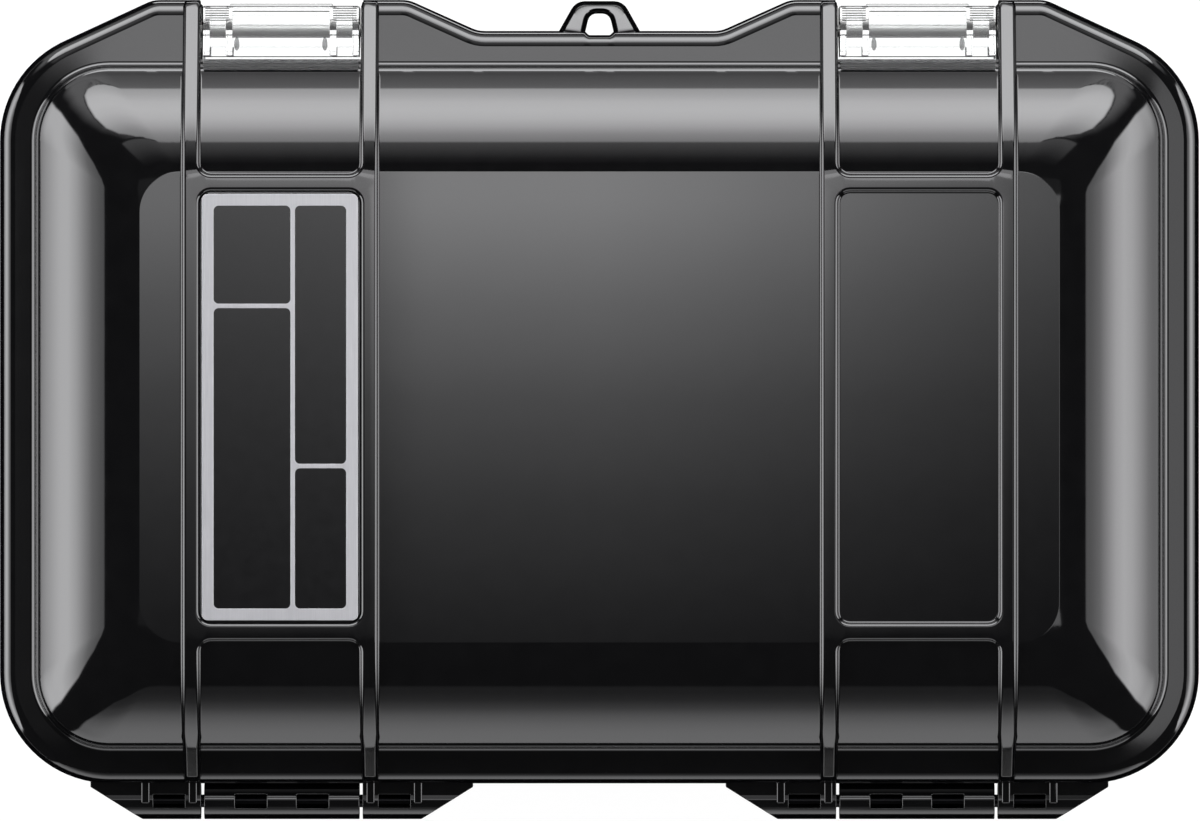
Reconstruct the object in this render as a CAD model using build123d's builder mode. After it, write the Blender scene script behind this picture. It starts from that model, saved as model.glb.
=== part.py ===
"""A small waterproof hard case: moulded base and lid, two clear latches, two pinned hinges.

Millimetres. +Z is up, the latches face -Y and the hinges +Y, and +X is to the right of someone who
faces the latches. The origin is on the ground under the middle of the case's overall outline.
"""

import os
from math import acos, atan2, cos, degrees, hypot, radians, sin, tan

from build123d import *

os.makedirs("parts", exist_ok=True)

# Rims of the base and the lid, which meet at the parting plane
case_width = 188.2
rim_depth = 118.1
rim_corner = 17.3
rim_edge = 1.9
parting_edge = 0.4
base_height = 57.5
base_rim_height = 6.5
lid_rim_height = 7.2
wall = 3.0

# Lid above its rim: a steep shoulder, then a domed band up to a flat top
shoulder_foot_inset = 5.65
dome_inset = 6.47
shoulder_height = 5.3
dome_band = 15.85
dome_foot_tilt = 45.0
dome_top_tilt = 4.0
flat_corner = 6.3
dome_levels = 7

# Base below its rim: a drafted wall, then a rounded turn into the flat bottom
wall_draft = 2.0
bottom_round = 12.7
bottom_corner = 6.0
bottom_levels = 8

# Ribs and crossbars, in two bands, which stand proud of the lid's top and of the bottom
band_centre = 49.9
rib_pitch = 27.9
rib_width = 2.8
rib_height = 0.8
rib_edge = 0.5
flank_tolerance = 0.05
crossbar_spacing = 70.1
ear_rise = 2.4
ear_set_back = 0.25
ear_nose = 1.0

# Latch guards, which carry the rims forward on both sides of each latch
guard_reach = 4.87
guard_outer_slope = 24.8
guard_inner_slope = 24.2
guard_inner_end = 29.9
guard_round = 5.0

# Bays that the latches stand in, with the catch ridge on the lid
bay_set_back = 4.55
catch_height = 10.45
catch_thickness = 0.6
catch_groove_depth = 1.3

# Latches
latch_side_gap = 0.35
latch_wall = 1.3
latch_web = 1.3
latch_set_back = 1.0
latch_rear_gap = 0.22
latch_front_height = 9.0
latch_top_height = 12.6
latch_lip_gap = 0.15
latch_lip_drop = 2.9
latch_front_round = 1.2
latch_rib = 1.0
latch_rib_spacing = 16.3
latch_rib_foot = 6.0
latch_wall_gap = 0.6
latch_barrel_radius = 2.7
tab_width = 16.0
tab_reach = 0.35
tab_height = 6.5

# Latch pins
latch_pin_radius = 0.95
latch_pin_standoff = 4.87
latch_pin_drop = 10.0
latch_pin_fit = 0.02
latch_swing_fit = 0.08
latch_pin_end_gap = 0.2
ear_below_pin = 4.4
ear_foot_slope = 52.0
ear_foot_round = 3.0
ear_root_round = 6.0

# Hinges
knuckle_radius = 2.85
knuckle_relief = 0.3
hinge_pin_radius = 1.0
hinge_pin_fit = 0.02
hinge_swing_fit = 0.08
hinge_pin_length = 42.0
hinge_half_length = 30.05
hinge_middle_length = 24.4
hinge_slit = 0.5
hinge_end_slope = 32.0
hinge_end_land = 0.6
window_width = 2.2
window_length = 5.0
outer_window_offset = 17.7
middle_window_spacing = 9.7
fin_width = 1.3
fin_reach = 3.2
fin_foot_height = 2.8
outer_fin_offset = 21.4

# Seal: the liner's upper edge lies in a rebate of the base rim, and its bead meets the lid
liner_wall = 2.0
liner_gap = 0.15
seal_rebate_inset = 5.7
seal_flange = 1.8
bead_inset = 6.75
bead_width = 1.6
bead_edge = 0.7
lid_rebate_inset = 6.3
lid_rebate_depth = 1.25
seal_gap = 0.05

# Grooves that keep the rims of even thickness
core_inset = 2.4
core_width = 2.3
lid_core_depth = 4.4
base_core_depth = 3.2

# Lanyard eye on the lid's front rim
eye_foot_width = 12.7
eye_top_width = 5.4
eye_reach = 4.75
eye_thickness = 4.2
eye_lift = 1.6
eye_round = 1.4
eye_hole_width = 4.4
eye_hole_top_width = 2.4
eye_hole_front = 2.1
eye_hole_in_rim = 0.65
eye_hole_round = 0.9

# Nameplate, in the right-hand band between its crossbars
plate_gap = 0.35
plate_thickness = 0.45
plate_corner = 0.9
adhesive_thickness = 0.13
adhesive_margin = 0.6
plate_border = 1.85
plate_bar = 0.7
inlay_depth = 0.14
inlay_corner = 0.8
wide_inlay_width = 12.0
short_inlay_front = 15.3
short_inlay_back = 21.9

# Pressure valve in the middle of the base's front wall
valve_height = 31.0
boss_radius = 10.5
boss_reach = 1.0
pad_radius = 9.8
pad_reach = 0.5
valve_head_radius = 8.2
valve_head_thickness = 3.0
valve_head_edge = 0.6
valve_stem_radius = 4.8
valve_stem_fit = 0.1
valve_bore_radius = 2.4
valve_pocket_radius = 6.4
valve_part_fit = 0.05
membrane_radius = 5.6
membrane_thickness = 0.3
retainer_inner_radius = 4.0
retainer_thickness = 0.7
cap_thickness = 0.9
cap_slots = 6
cap_slot_length = 2.6
cap_slot_width = 0.8
cap_slot_circle = 3.4
o_ring_radius = 6.4
o_ring_section_radius = 0.85
o_ring_fit = 0.05
nut_across_flats = 15.0
nut_thickness = 3.0
stem_past_nut = 0.8
nut_fit = 0.05
liner_valve_gap = 0.6
overcut = 1.0

# Places that follow from the sizes above
front_y = -(guard_reach + rim_depth + 2 * knuckle_radius) / 2
rim_front_y = front_y + guard_reach
rim_back_y = rim_front_y + rim_depth
rim_centre_y = (rim_front_y + rim_back_y) / 2
hinge_y = rim_back_y + knuckle_radius
parting_z = base_height
lid_rim_top = parting_z + lid_rim_height
base_rim_bottom = parting_z - base_rim_height
dome_foot_z = lid_rim_top + shoulder_height
dome_foot_y = rim_front_y + dome_inset
bay_width = rib_pitch - rib_width
bay_wall_y = rim_front_y + bay_set_back
latch_width = bay_width - 2 * latch_side_gap
latch_pin_y = bay_wall_y - latch_pin_standoff
latch_pin_z = parting_z - latch_pin_drop

# The dome's arc, the same all round, and the flat top that it ends in
dome_radius = dome_band / (sin(radians(dome_foot_tilt)) - sin(radians(dome_top_tilt)))
dome_centre_inset = dome_inset + dome_radius * sin(radians(dome_foot_tilt))
dome_centre_z = dome_foot_z - dome_radius * cos(radians(dome_foot_tilt))
flat_z = dome_centre_z + dome_radius * cos(radians(dome_top_tilt))
rib_top_z = flat_z + rib_height

# The bottom's arc, which runs on from the drafted wall
bottom_start_tilt = 90 - wall_draft
bottom_centre_z = rib_height + bottom_round
wall_foot_z = bottom_centre_z - bottom_round * cos(radians(bottom_start_tilt))


def wall_inset(z):
    """How far the base's outer wall stands inside the rims' outline at height z."""
    return dome_inset + (base_rim_bottom - z) * tan(radians(wall_draft))


def section(z, inset, corner=None):
    """A rounded rectangle at height z, set in from the rims' outline all round."""
    with BuildSketch(Plane.XY.offset(z)) as outline:
        with Locations((0, rim_centre_y)):
            RectangleRounded(
                case_width - 2 * inset,
                rim_depth - 2 * inset,
                rim_corner - inset if corner is None else corner,
            )
    return outline.sketch


def wall_section(z, thickness):
    """The base's drafted wall at height z, set in by a wall thickness."""
    return section(z, wall_inset(z) + thickness)


def dome_sections(thickness):
    """Sections of the dome from its foot to the flat top, set in by a wall thickness."""
    foot_corner = rim_corner - dome_inset
    sections = []
    for level in range(dome_levels + 1):
        share = level / dome_levels
        tilt = radians(dome_foot_tilt + share * (dome_top_tilt - dome_foot_tilt))
        band = dome_radius * (sin(radians(dome_foot_tilt)) - sin(tilt))
        corner = foot_corner + (flat_corner - foot_corner) * band / dome_band
        height = dome_centre_z + (dome_radius - thickness) * cos(tilt)
        inset = dome_inset + band + thickness * sin(tilt)
        sections.append(section(height, inset, corner - thickness * sin(tilt)))
    return sections


def bottom_sections(thickness):
    """Sections of the base's rounded turn, from the foot of its wall to the flat bottom."""
    foot_inset = wall_inset(wall_foot_z)
    foot_corner = rim_corner - foot_inset
    sections = []
    for level in range(bottom_levels + 1):
        tilt = radians(bottom_start_tilt * (1 - level / bottom_levels))
        band = bottom_round * (sin(radians(bottom_start_tilt)) - sin(tilt))
        corner = foot_corner + (bottom_corner - foot_corner) * band / bottom_round
        height = bottom_centre_z - (bottom_round - thickness) * cos(tilt)
        inset = foot_inset + band + thickness * sin(tilt)
        sections.append(section(height, inset, corner - thickness * sin(tilt)))
    return sections


def rim_plan():
    """The rims' outline: a rounded rectangle with a latch guard on each side of the front."""
    slope = radians(guard_outer_slope)
    tangent_x = case_width / 2 - rim_corner * (1 - sin(slope))
    tangent_y = rim_front_y + rim_corner * (1 - cos(slope))
    outer_end = tangent_x - (tangent_y - front_y) / tan(slope)
    inner_foot = guard_inner_end - guard_reach / tan(radians(guard_inner_slope))
    inside_y = rim_front_y + rim_corner
    with BuildSketch() as plan:
        with Locations((0, rim_centre_y)):
            RectangleRounded(case_width, rim_depth, rim_corner)
        for side in (-1, 1):
            with BuildLine():
                FilletPolyline(
                    (side * tangent_x, inside_y),
                    (side * tangent_x, tangent_y),
                    (side * outer_end, front_y),
                    (side * guard_inner_end, front_y),
                    (side * inner_foot, rim_front_y),
                    (side * inner_foot, inside_y),
                    radius=[0, guard_round, guard_round, 0],
                )
                Line((side * inner_foot, inside_y), (side * tangent_x, inside_y))
            make_face()
    return plan.sketch


def at_bands(y=0, z=0):
    """The places of both bands' centres at one depth and height."""
    return Locations(*[(side * band_centre, y, z) for side in (-1, 1)])


def at_ribs():
    """The places of all four ribs."""
    offsets = (-rib_pitch / 2, rib_pitch / 2)
    return Locations(*[(side * band_centre + offset, 0, 0) for side in (-1, 1) for offset in offsets])


def at_crossbars(z, turn):
    """The places of all four crossbars at one height, turned about X."""
    ends = (-crossbar_spacing / 2, crossbar_spacing / 2)
    return Locations(
        *[
            Location((side * band_centre, rim_centre_y + end, z), (turn, 0, 0))
            for side in (-1, 1)
            for end in ends
        ]
    )


def core_plan():
    """The groove that keeps a rim's walls even, left out around the latch bays."""
    with BuildSketch() as plan:
        add(section(0, core_inset))
        add(section(0, core_inset + core_width), mode=Mode.SUBTRACT)
        with at_bands(rim_front_y):
            Rectangle(rib_pitch + rib_width + 2 * core_inset, 2 * dome_inset, mode=Mode.SUBTRACT)
    return plan.sketch


def on_arc(centre_y, centre_z, radius, tilt):
    """A point of an arc that starts straight above its centre and tilts towards +Y."""
    return (centre_y + radius * sin(radians(tilt)), centre_z + radius * cos(radians(tilt)))


def corner_near(sketch, point):
    """The corner of a sketch that lies nearest to a point."""
    return sketch.vertices().sort_by_distance((*point, 0))[0]


def flank_edges(rib, low, high):
    """The long edges of a rib's two flanks whose middles lie between two heights."""
    flank = rib_width / 2
    edges = rib.edges().filter_by(lambda edge: abs(abs((edge @ 0.5).X) - flank) < flank_tolerance)
    return edges.filter_by(lambda edge: low < (edge @ 0.5).Z < high)


# Lid rib: over the top, with a tangent ear in front and a tangent foot behind
rib_arc = dome_radius + rib_height
rib_top_tilt = degrees(acos((rib_top_z - dome_centre_z) / rib_arc))
front_arc_y = rim_front_y + dome_centre_inset
back_arc_y = rim_back_y - dome_centre_inset
ear_tip = (front_y + ear_set_back, lid_rim_top + ear_rise)
rib_back_y = rim_back_y - ear_set_back
tip_run = front_arc_y - ear_tip[0]
tip_rise = ear_tip[1] - dome_centre_z
ear_tilt = degrees(atan2(tip_run, tip_rise) - acos(rib_arc / hypot(tip_run, tip_rise)))
rib_root_z = parting_z + lid_core_depth
ear_end = on_arc(front_arc_y, dome_centre_z, rib_arc, -ear_tilt)
front_middle = on_arc(front_arc_y, dome_centre_z, rib_arc, -(ear_tilt + rib_top_tilt) / 2)
front_top = on_arc(front_arc_y, dome_centre_z, rib_arc, -rib_top_tilt)
back_top = on_arc(back_arc_y, dome_centre_z, rib_arc, rib_top_tilt)
back_middle = on_arc(back_arc_y, dome_centre_z, rib_arc, (rib_top_tilt + dome_foot_tilt) / 2)
back_foot = on_arc(back_arc_y, dome_centre_z, rib_arc, dome_foot_tilt)
foot_drop = (rib_back_y - back_foot[0]) * tan(radians(dome_foot_tilt))

with BuildPart() as lid_rib:
    with BuildSketch(Plane.YZ) as lid_rib_outline:
        with BuildLine():
            Line(ear_tip, ear_end)
            ThreePointArc(ear_end, front_middle, front_top)
            Line(front_top, back_top)
            ThreePointArc(back_top, back_middle, back_foot)
            Polyline(
                back_foot,
                (rib_back_y, back_foot[1] - foot_drop),
                (rib_back_y, rib_root_z),
                (ear_tip[0], rib_root_z),
                ear_tip,
            )
        make_face()
        fillet(corner_near(lid_rib_outline, ear_tip), ear_nose)
    extrude(amount=rib_width / 2, both=True)
    fillet(flank_edges(lid_rib, lid_rim_top, rib_top_z), rib_edge)

# Base rib: under the bottom, with a latch ear in front and a foot up to the rim behind
bottom_inset = wall_inset(wall_foot_z) + bottom_round * sin(radians(bottom_start_tilt))
bottom_front_y = rim_front_y + bottom_inset
bottom_back_y = rim_back_y - bottom_inset
foot_arc = bottom_round + rib_height
draft_run = tan(radians(wall_draft))
ear_run = 1 / tan(radians(ear_foot_slope))
ear_low = (front_y + ear_set_back, latch_pin_z - ear_below_pin)
rib_wall_y = dome_foot_y - rib_height
ear_depth = rib_wall_y - ear_low[0] + base_rim_bottom * draft_run
ear_root_z = (ear_low[1] * ear_run - ear_depth) / (ear_run - draft_run)
ear_root = (rib_wall_y + (base_rim_bottom - ear_root_z) * draft_run, ear_root_z)
heel_run = (dome_inset - rib_height - ear_set_back) / (1 - draft_run)
heel = (rib_back_y - heel_run, base_rim_bottom - heel_run)
base_rib_top = base_rim_bottom + base_core_depth
front_start = on_arc(bottom_front_y, bottom_centre_z, foot_arc, 180 + bottom_start_tilt)
front_turn = on_arc(bottom_front_y, bottom_centre_z, foot_arc, 180 + bottom_start_tilt / 2)
back_turn = on_arc(bottom_back_y, bottom_centre_z, foot_arc, 180 - bottom_start_tilt / 2)
back_start = on_arc(bottom_back_y, bottom_centre_z, foot_arc, 180 - bottom_start_tilt)

with BuildPart() as base_rib:
    with BuildSketch(Plane.YZ) as base_rib_outline:
        with BuildLine():
            Polyline((ear_low[0], base_rib_top), ear_low, ear_root, front_start)
            ThreePointArc(front_start, front_turn, (bottom_front_y, 0))
            Line((bottom_front_y, 0), (bottom_back_y, 0))
            ThreePointArc((bottom_back_y, 0), back_turn, back_start)
            Polyline(
                back_start,
                heel,
                (rib_back_y, base_rim_bottom),
                (rib_back_y, base_rib_top),
                (ear_low[0], base_rib_top),
            )
        make_face()
        fillet(corner_near(base_rib_outline, ear_low), ear_foot_round)
        fillet(corner_near(base_rib_outline, ear_root), ear_root_round)
        fillet(corner_near(base_rib_outline, heel), ear_root_round)
    extrude(amount=rib_width / 2, both=True)
    fillet(flank_edges(base_rib, -rib_height, base_rim_bottom), rib_edge)

# Crossbar, which joins the two ribs of a band
with BuildPart() as crossbar:
    Box(rib_pitch, rib_width, rib_height + overcut, align=(Align.CENTER, Align.CENTER, Align.MAX))
    fillet(crossbar.edges().filter_by(Axis.X).group_by(Axis.Z)[-1], rib_edge)

# Hinge knuckles about X = 0: two outer ones for the lid, with fins up to its rim
outer_knuckle_start = hinge_middle_length / 2 + hinge_slit
hinge_back_y = hinge_y + knuckle_radius
hinge_tip_half = hinge_half_length - (2 * knuckle_radius - hinge_end_land) / tan(
    radians(hinge_end_slope)
)
fin_offsets = [side * offset for side in (-1, 1) for offset in (rib_pitch / 2, outer_fin_offset)]

with BuildPart() as lid_knuckles:
    with BuildSketch(Plane.YZ):
        with Locations((hinge_y, parting_z)):
            Circle(knuckle_radius)
            Rectangle(knuckle_radius + overcut, knuckle_radius, align=(Align.MAX, Align.MIN))
    extrude(amount=hinge_half_length, both=True)
    for offset in fin_offsets:
        with BuildSketch(Plane.YZ.offset(offset)):
            with BuildLine():
                Polyline(
                    (rim_back_y - rim_edge, parting_z + fin_width),
                    (rim_back_y - rim_edge, lid_rim_top),
                    (rim_back_y + fin_reach, parting_z + fin_foot_height),
                    (rim_back_y + fin_reach, parting_z + fin_width),
                    (rim_back_y - rim_edge, parting_z + fin_width),
                )
            make_face()
        extrude(amount=fin_width / 2, both=True)
    for side in (-1, 1):
        with BuildSketch(Plane.XY.offset(parting_z - knuckle_radius)):
            with BuildLine():
                Polyline(
                    (side * hinge_half_length, rim_back_y + hinge_end_land),
                    (side * hinge_tip_half, hinge_back_y),
                    (side * hinge_tip_half, hinge_back_y + overcut),
                    (side * (hinge_half_length + overcut), hinge_back_y + overcut),
                    (side * (hinge_half_length + overcut), rim_back_y + hinge_end_land),
                    (side * hinge_half_length, rim_back_y + hinge_end_land),
                )
            make_face()
        extrude(amount=2 * knuckle_radius + lid_rim_height, mode=Mode.SUBTRACT)
    with Locations(*[(side * outer_window_offset, hinge_y, parting_z) for side in (-1, 1)]):
        Box(
            window_length,
            window_width,
            lid_rim_height,
            align=(Align.CENTER, Align.CENTER, Align.MIN),
            mode=Mode.SUBTRACT,
        )
    with Locations((0, hinge_y, parting_z)):
        Cylinder(
            hinge_pin_radius + hinge_swing_fit,
            2 * (hinge_half_length + overcut),
            rotation=(0, 90, 0),
            mode=Mode.SUBTRACT,
        )
        Box(
            2 * outer_knuckle_start,
            4 * knuckle_radius + 2 * rim_edge,
            4 * lid_rim_height,
            mode=Mode.SUBTRACT,
        )

# Middle hinge knuckle for the base, about X = 0
with BuildPart() as base_knuckle:
    with BuildSketch(Plane.YZ):
        with Locations((hinge_y, parting_z)):
            Circle(knuckle_radius)
            Rectangle(knuckle_radius + overcut, knuckle_radius, align=(Align.MAX, Align.MAX))
    extrude(amount=hinge_middle_length / 2, both=True)
    with Locations(*[(side * middle_window_spacing / 2, hinge_y, parting_z) for side in (-1, 1)]):
        Box(
            window_length,
            window_width,
            knuckle_radius,
            align=(Align.CENTER, Align.CENTER, Align.MIN),
            mode=Mode.SUBTRACT,
        )
    with Locations((0, hinge_y, parting_z)):
        Cylinder(
            hinge_pin_radius + hinge_pin_fit,
            hinge_middle_length,
            rotation=(0, 90, 0),
            mode=Mode.SUBTRACT,
        )

# Hollow of the lid: straight walls up to the inside of the dome
with BuildPart() as lid_hollow:
    inner_dome = dome_sections(wall)
    foot_inset = dome_inset + wall * sin(radians(dome_foot_tilt))
    loft(sections=[section(parting_z - overcut, foot_inset), inner_dome[0]])
    loft(sections=inner_dome)
    extrude(
        section(parting_z - overcut, dome_inset + wall),
        amount=flat_z - parting_z,
        mode=Mode.INTERSECT,
    )

# Hollow of the base: drafted walls down to the rounded turn
with BuildPart() as base_hollow:
    inner_bottom = bottom_sections(wall)
    loft(sections=[inner_bottom[0], wall_section(parting_z + overcut, wall)])
    loft(sections=inner_bottom)

# Lid shell: rim, shoulder, dome, ribs, catches, hinge knuckles and the lanyard eye
catch_z = parting_z + catch_height
catch_groove_z = catch_z - catch_groove_depth
eye_front_y = rim_front_y - eye_reach
hole_front_y = eye_front_y + eye_hole_front
hole_back_y = rim_front_y + eye_hole_in_rim

with BuildPart() as lid_shell:
    extrude(Pos(0, 0, parting_z) * rim_plan(), amount=lid_rim_height)
    fillet(lid_shell.edges().group_by(Axis.Z)[-1], rim_edge)
    fillet(lid_shell.edges().group_by(Axis.Z)[0], parting_edge)
    loft(
        sections=[
            section(lid_rim_top - rim_edge / 2, shoulder_foot_inset),
            section(dome_foot_z, dome_inset),
        ]
    )
    extrude(section(lid_rim_top, dome_inset), amount=shoulder_height)
    loft(sections=dome_sections(0))
    with at_ribs():
        add(lid_rib.part)
    with at_crossbars(rib_top_z, 0):
        add(crossbar.part)
    extrude(Pos(0, 0, parting_z) * core_plan(), amount=lid_core_depth, mode=Mode.SUBTRACT)
    with at_bands(bay_wall_y, parting_z - overcut):
        Box(
            bay_width,
            dome_foot_y - front_y,
            dome_foot_z - parting_z + 2 * overcut,
            align=(Align.CENTER, Align.MAX, Align.MIN),
            mode=Mode.SUBTRACT,
        )
    with at_bands(dome_foot_y, catch_groove_z):
        Box(
            bay_width,
            dome_foot_y - bay_wall_y,
            lid_rim_height,
            align=(Align.CENTER, Align.MAX, Align.MIN),
            mode=Mode.SUBTRACT,
        )
        Box(
            bay_width,
            dome_foot_y - bay_wall_y,
            catch_groove_z - rib_root_z,
            align=(Align.CENTER, Align.MAX, Align.MAX),
        )
    with at_bands(bay_wall_y, rib_root_z):
        Box(
            bay_width,
            catch_thickness,
            catch_z - rib_root_z,
            align=(Align.CENTER, Align.MIN, Align.MIN),
        )
    with at_bands(hinge_y, parting_z):
        Cylinder(
            knuckle_radius + knuckle_relief,
            2 * outer_knuckle_start,
            rotation=(0, 90, 0),
            mode=Mode.SUBTRACT,
        )
    with at_bands():
        add(lid_knuckles.part)
    with BuildSketch(Plane.XY.offset(parting_z + eye_lift)) as eye_plan:
        with BuildLine():
            Polyline(
                (-eye_foot_width / 2, rim_front_y + eye_hole_in_rim),
                (-eye_foot_width / 2, rim_front_y),
                (-eye_top_width / 2, eye_front_y),
                (eye_top_width / 2, eye_front_y),
                (eye_foot_width / 2, rim_front_y),
                (eye_foot_width / 2, rim_front_y + eye_hole_in_rim),
                (-eye_foot_width / 2, rim_front_y + eye_hole_in_rim),
            )
        make_face()
        fillet(eye_plan.vertices().group_by(Axis.Y)[0], eye_round)
    extrude(amount=eye_thickness)
    with BuildSketch(Plane.XY.offset(parting_z)) as eye_hole:
        with BuildLine():
            Polyline(
                (-eye_hole_top_width / 2, hole_front_y),
                (eye_hole_top_width / 2, hole_front_y),
                (eye_hole_width / 2, hole_back_y),
                (-eye_hole_width / 2, hole_back_y),
                (-eye_hole_top_width / 2, hole_front_y),
            )
        make_face()
        fillet(eye_hole.vertices(), eye_hole_round)
    extrude(amount=lid_rim_height, mode=Mode.SUBTRACT)
    add(lid_hollow.part, mode=Mode.SUBTRACT)
    extrude(
        section(parting_z, lid_rebate_inset),
        amount=lid_rebate_depth,
        mode=Mode.SUBTRACT,
    )

# Base shell: rim, walls, bottom, ribs with the latch ears, hinge knuckles and the valve's seat
boss_face_y = rim_front_y + wall_inset(valve_height) - boss_reach
pad_face_y = boss_face_y + boss_reach + wall + pad_reach
o_ring_groove = 2 * (o_ring_section_radius + o_ring_fit)

with BuildPart() as base_shell:
    extrude(Pos(0, 0, base_rim_bottom) * rim_plan(), amount=base_rim_height)
    fillet(base_shell.edges().group_by(Axis.Z)[-1], parting_edge)
    fillet(base_shell.edges().group_by(Axis.Z)[0], rim_edge)
    extrude(Pos(0, 0, base_rim_bottom) * core_plan(), amount=base_core_depth, mode=Mode.SUBTRACT)
    with at_bands(bay_wall_y, base_rim_bottom - overcut):
        Box(
            bay_width,
            dome_foot_y - front_y,
            base_rim_height + 2 * overcut,
            align=(Align.CENTER, Align.MAX, Align.MIN),
            mode=Mode.SUBTRACT,
        )
    loft(sections=[bottom_sections(0)[0], wall_section(base_rim_bottom + rim_edge, 0)])
    loft(sections=bottom_sections(0))
    with at_ribs():
        add(base_rib.part)
    with at_crossbars(0, 180):
        add(crossbar.part)
    with at_bands(hinge_y, parting_z):
        Cylinder(
            knuckle_radius + knuckle_relief,
            2 * (hinge_half_length + hinge_slit),
            rotation=(0, 90, 0),
            mode=Mode.SUBTRACT,
        )
    with at_bands():
        add(base_knuckle.part)
    with BuildSketch(Plane.XZ.offset(-(boss_face_y + boss_reach + wall / 2))):
        with Locations((0, valve_height)):
            Circle(boss_radius)
    extrude(amount=boss_reach + wall / 2)
    add(base_hollow.part, mode=Mode.SUBTRACT)
    with BuildSketch(Plane.XZ.offset(-pad_face_y)):
        with Locations((0, valve_height)):
            Circle(pad_radius)
    extrude(amount=pad_reach + wall / 2)
    with BuildSketch(Plane.XZ.offset(-(pad_face_y + overcut))):
        with Locations((0, valve_height)):
            Circle(valve_stem_radius + valve_stem_fit)
    extrude(amount=pad_face_y - boss_face_y + 2 * overcut, mode=Mode.SUBTRACT)
    with BuildSketch(Plane.XZ.offset(-(boss_face_y + o_ring_groove))):
        with Locations((0, valve_height)):
            Circle(o_ring_radius + o_ring_groove / 2)
            Circle(o_ring_radius - o_ring_groove / 2, mode=Mode.SUBTRACT)
    extrude(amount=o_ring_groove, mode=Mode.SUBTRACT)
    with at_bands(latch_pin_y, latch_pin_z):
        Cylinder(
            latch_pin_radius + latch_pin_fit,
            rib_pitch + 2 * rib_width,
            rotation=(0, 90, 0),
            mode=Mode.SUBTRACT,
        )
    extrude(
        section(parting_z - seal_flange, seal_rebate_inset),
        amount=seal_flange,
        mode=Mode.SUBTRACT,
    )

# Rubber liner of the base, with the seal's bead on its upper edge
liner_outside = wall + liner_gap
liner_inside = liner_outside + liner_wall
bead_top_z = parting_z + lid_rebate_depth - seal_gap

with BuildPart() as base_liner:
    loft(
        sections=[
            bottom_sections(liner_outside)[0],
            wall_section(parting_z - seal_flange + liner_gap, liner_outside),
        ]
    )
    loft(sections=bottom_sections(liner_outside))
    extrude(
        section(parting_z - seal_flange + liner_gap, seal_rebate_inset + liner_gap),
        amount=seal_flange - liner_gap,
    )
    extrude(section(parting_z, bead_inset), amount=bead_top_z - parting_z)
    bead_outer_edges = base_liner.edges().group_by(Axis.Z)[-1]
    fillet(bead_outer_edges, bead_edge)
    extrude(
        section(parting_z, bead_inset + bead_width),
        amount=lid_rebate_depth,
        mode=Mode.SUBTRACT,
    )
    fillet(base_liner.edges().group_by(Axis.Z)[-1], bead_edge)
    loft(
        sections=[
            bottom_sections(liner_inside)[0],
            wall_section(parting_z + overcut, liner_inside),
        ],
        mode=Mode.SUBTRACT,
    )
    loft(sections=bottom_sections(liner_inside), mode=Mode.SUBTRACT)
    with BuildSketch(Plane.XZ.offset(-(pad_face_y + liner_inside))):
        with Locations((0, valve_height)):
            Circle(pad_radius + liner_valve_gap)
    extrude(amount=2 * liner_inside, mode=Mode.SUBTRACT)

# Latch about X = 0: front wall, sloping web, lip, barrel, thin ribs and a raised pull tab
latch_front_y = front_y + latch_set_back
latch_inner_y = latch_front_y + latch_wall
latch_low_z = latch_pin_z - latch_barrel_radius
latch_front_z = parting_z + latch_front_height
latch_back_y = dome_foot_y - latch_rear_gap
latch_back_z = parting_z + latch_top_height
lip_front_y = bay_wall_y + catch_thickness + latch_lip_gap
web_rise = (latch_back_z - latch_front_z) / (latch_back_y - latch_front_y)
web_drop = latch_web * hypot(1, web_rise)
latch_rib_back_y = bay_wall_y - latch_wall_gap


def web_underside(y):
    """A point of the web's underside."""
    return (y, latch_front_z - web_drop + (y - latch_front_y) * web_rise)


with BuildPart() as latch:
    with BuildSketch(Plane.YZ) as latch_outline:
        with BuildLine():
            Polyline(
                (latch_front_y, latch_low_z),
                (latch_front_y, latch_front_z),
                (latch_back_y, latch_back_z),
                (latch_back_y, latch_back_z - latch_lip_drop),
                (lip_front_y, latch_back_z - latch_lip_drop),
                web_underside(lip_front_y),
                web_underside(latch_inner_y),
                (latch_inner_y, latch_pin_z),
                (latch_pin_y, latch_pin_z),
                (latch_pin_y, latch_low_z),
                (latch_front_y, latch_low_z),
            )
        make_face()
        fillet(corner_near(latch_outline, (latch_front_y, latch_front_z)), latch_front_round)
        with Locations((latch_pin_y, latch_pin_z)):
            Circle(latch_barrel_radius)
    extrude(amount=latch_width / 2, both=True)
    end_rib = (latch_width - latch_rib) / 2
    for offset in (-end_rib, -latch_rib_spacing / 2, latch_rib_spacing / 2, end_rib):
        with BuildSketch(Plane.YZ.offset(offset)):
            with BuildLine():
                Polyline(
                    (latch_front_y + latch_wall / 2, latch_pin_z),
                    (latch_pin_y, latch_pin_z),
                    (latch_rib_back_y, latch_pin_z + latch_rib_foot),
                    web_underside(latch_rib_back_y),
                    web_underside(latch_front_y + latch_wall / 2),
                    (latch_front_y + latch_wall / 2, latch_pin_z),
                )
            make_face()
        extrude(amount=latch_rib / 2, both=True)
    with Locations((0, latch_front_y + latch_wall / 2, latch_front_z - latch_front_round)):
        Box(
            tab_width,
            tab_reach + latch_wall / 2,
            tab_height,
            align=(Align.CENTER, Align.MAX, Align.MAX),
        )
    with Locations((0, latch_pin_y, latch_pin_z)):
        Cylinder(
            latch_pin_radius + latch_swing_fit,
            latch_width,
            rotation=(0, 90, 0),
            mode=Mode.SUBTRACT,
        )

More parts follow.
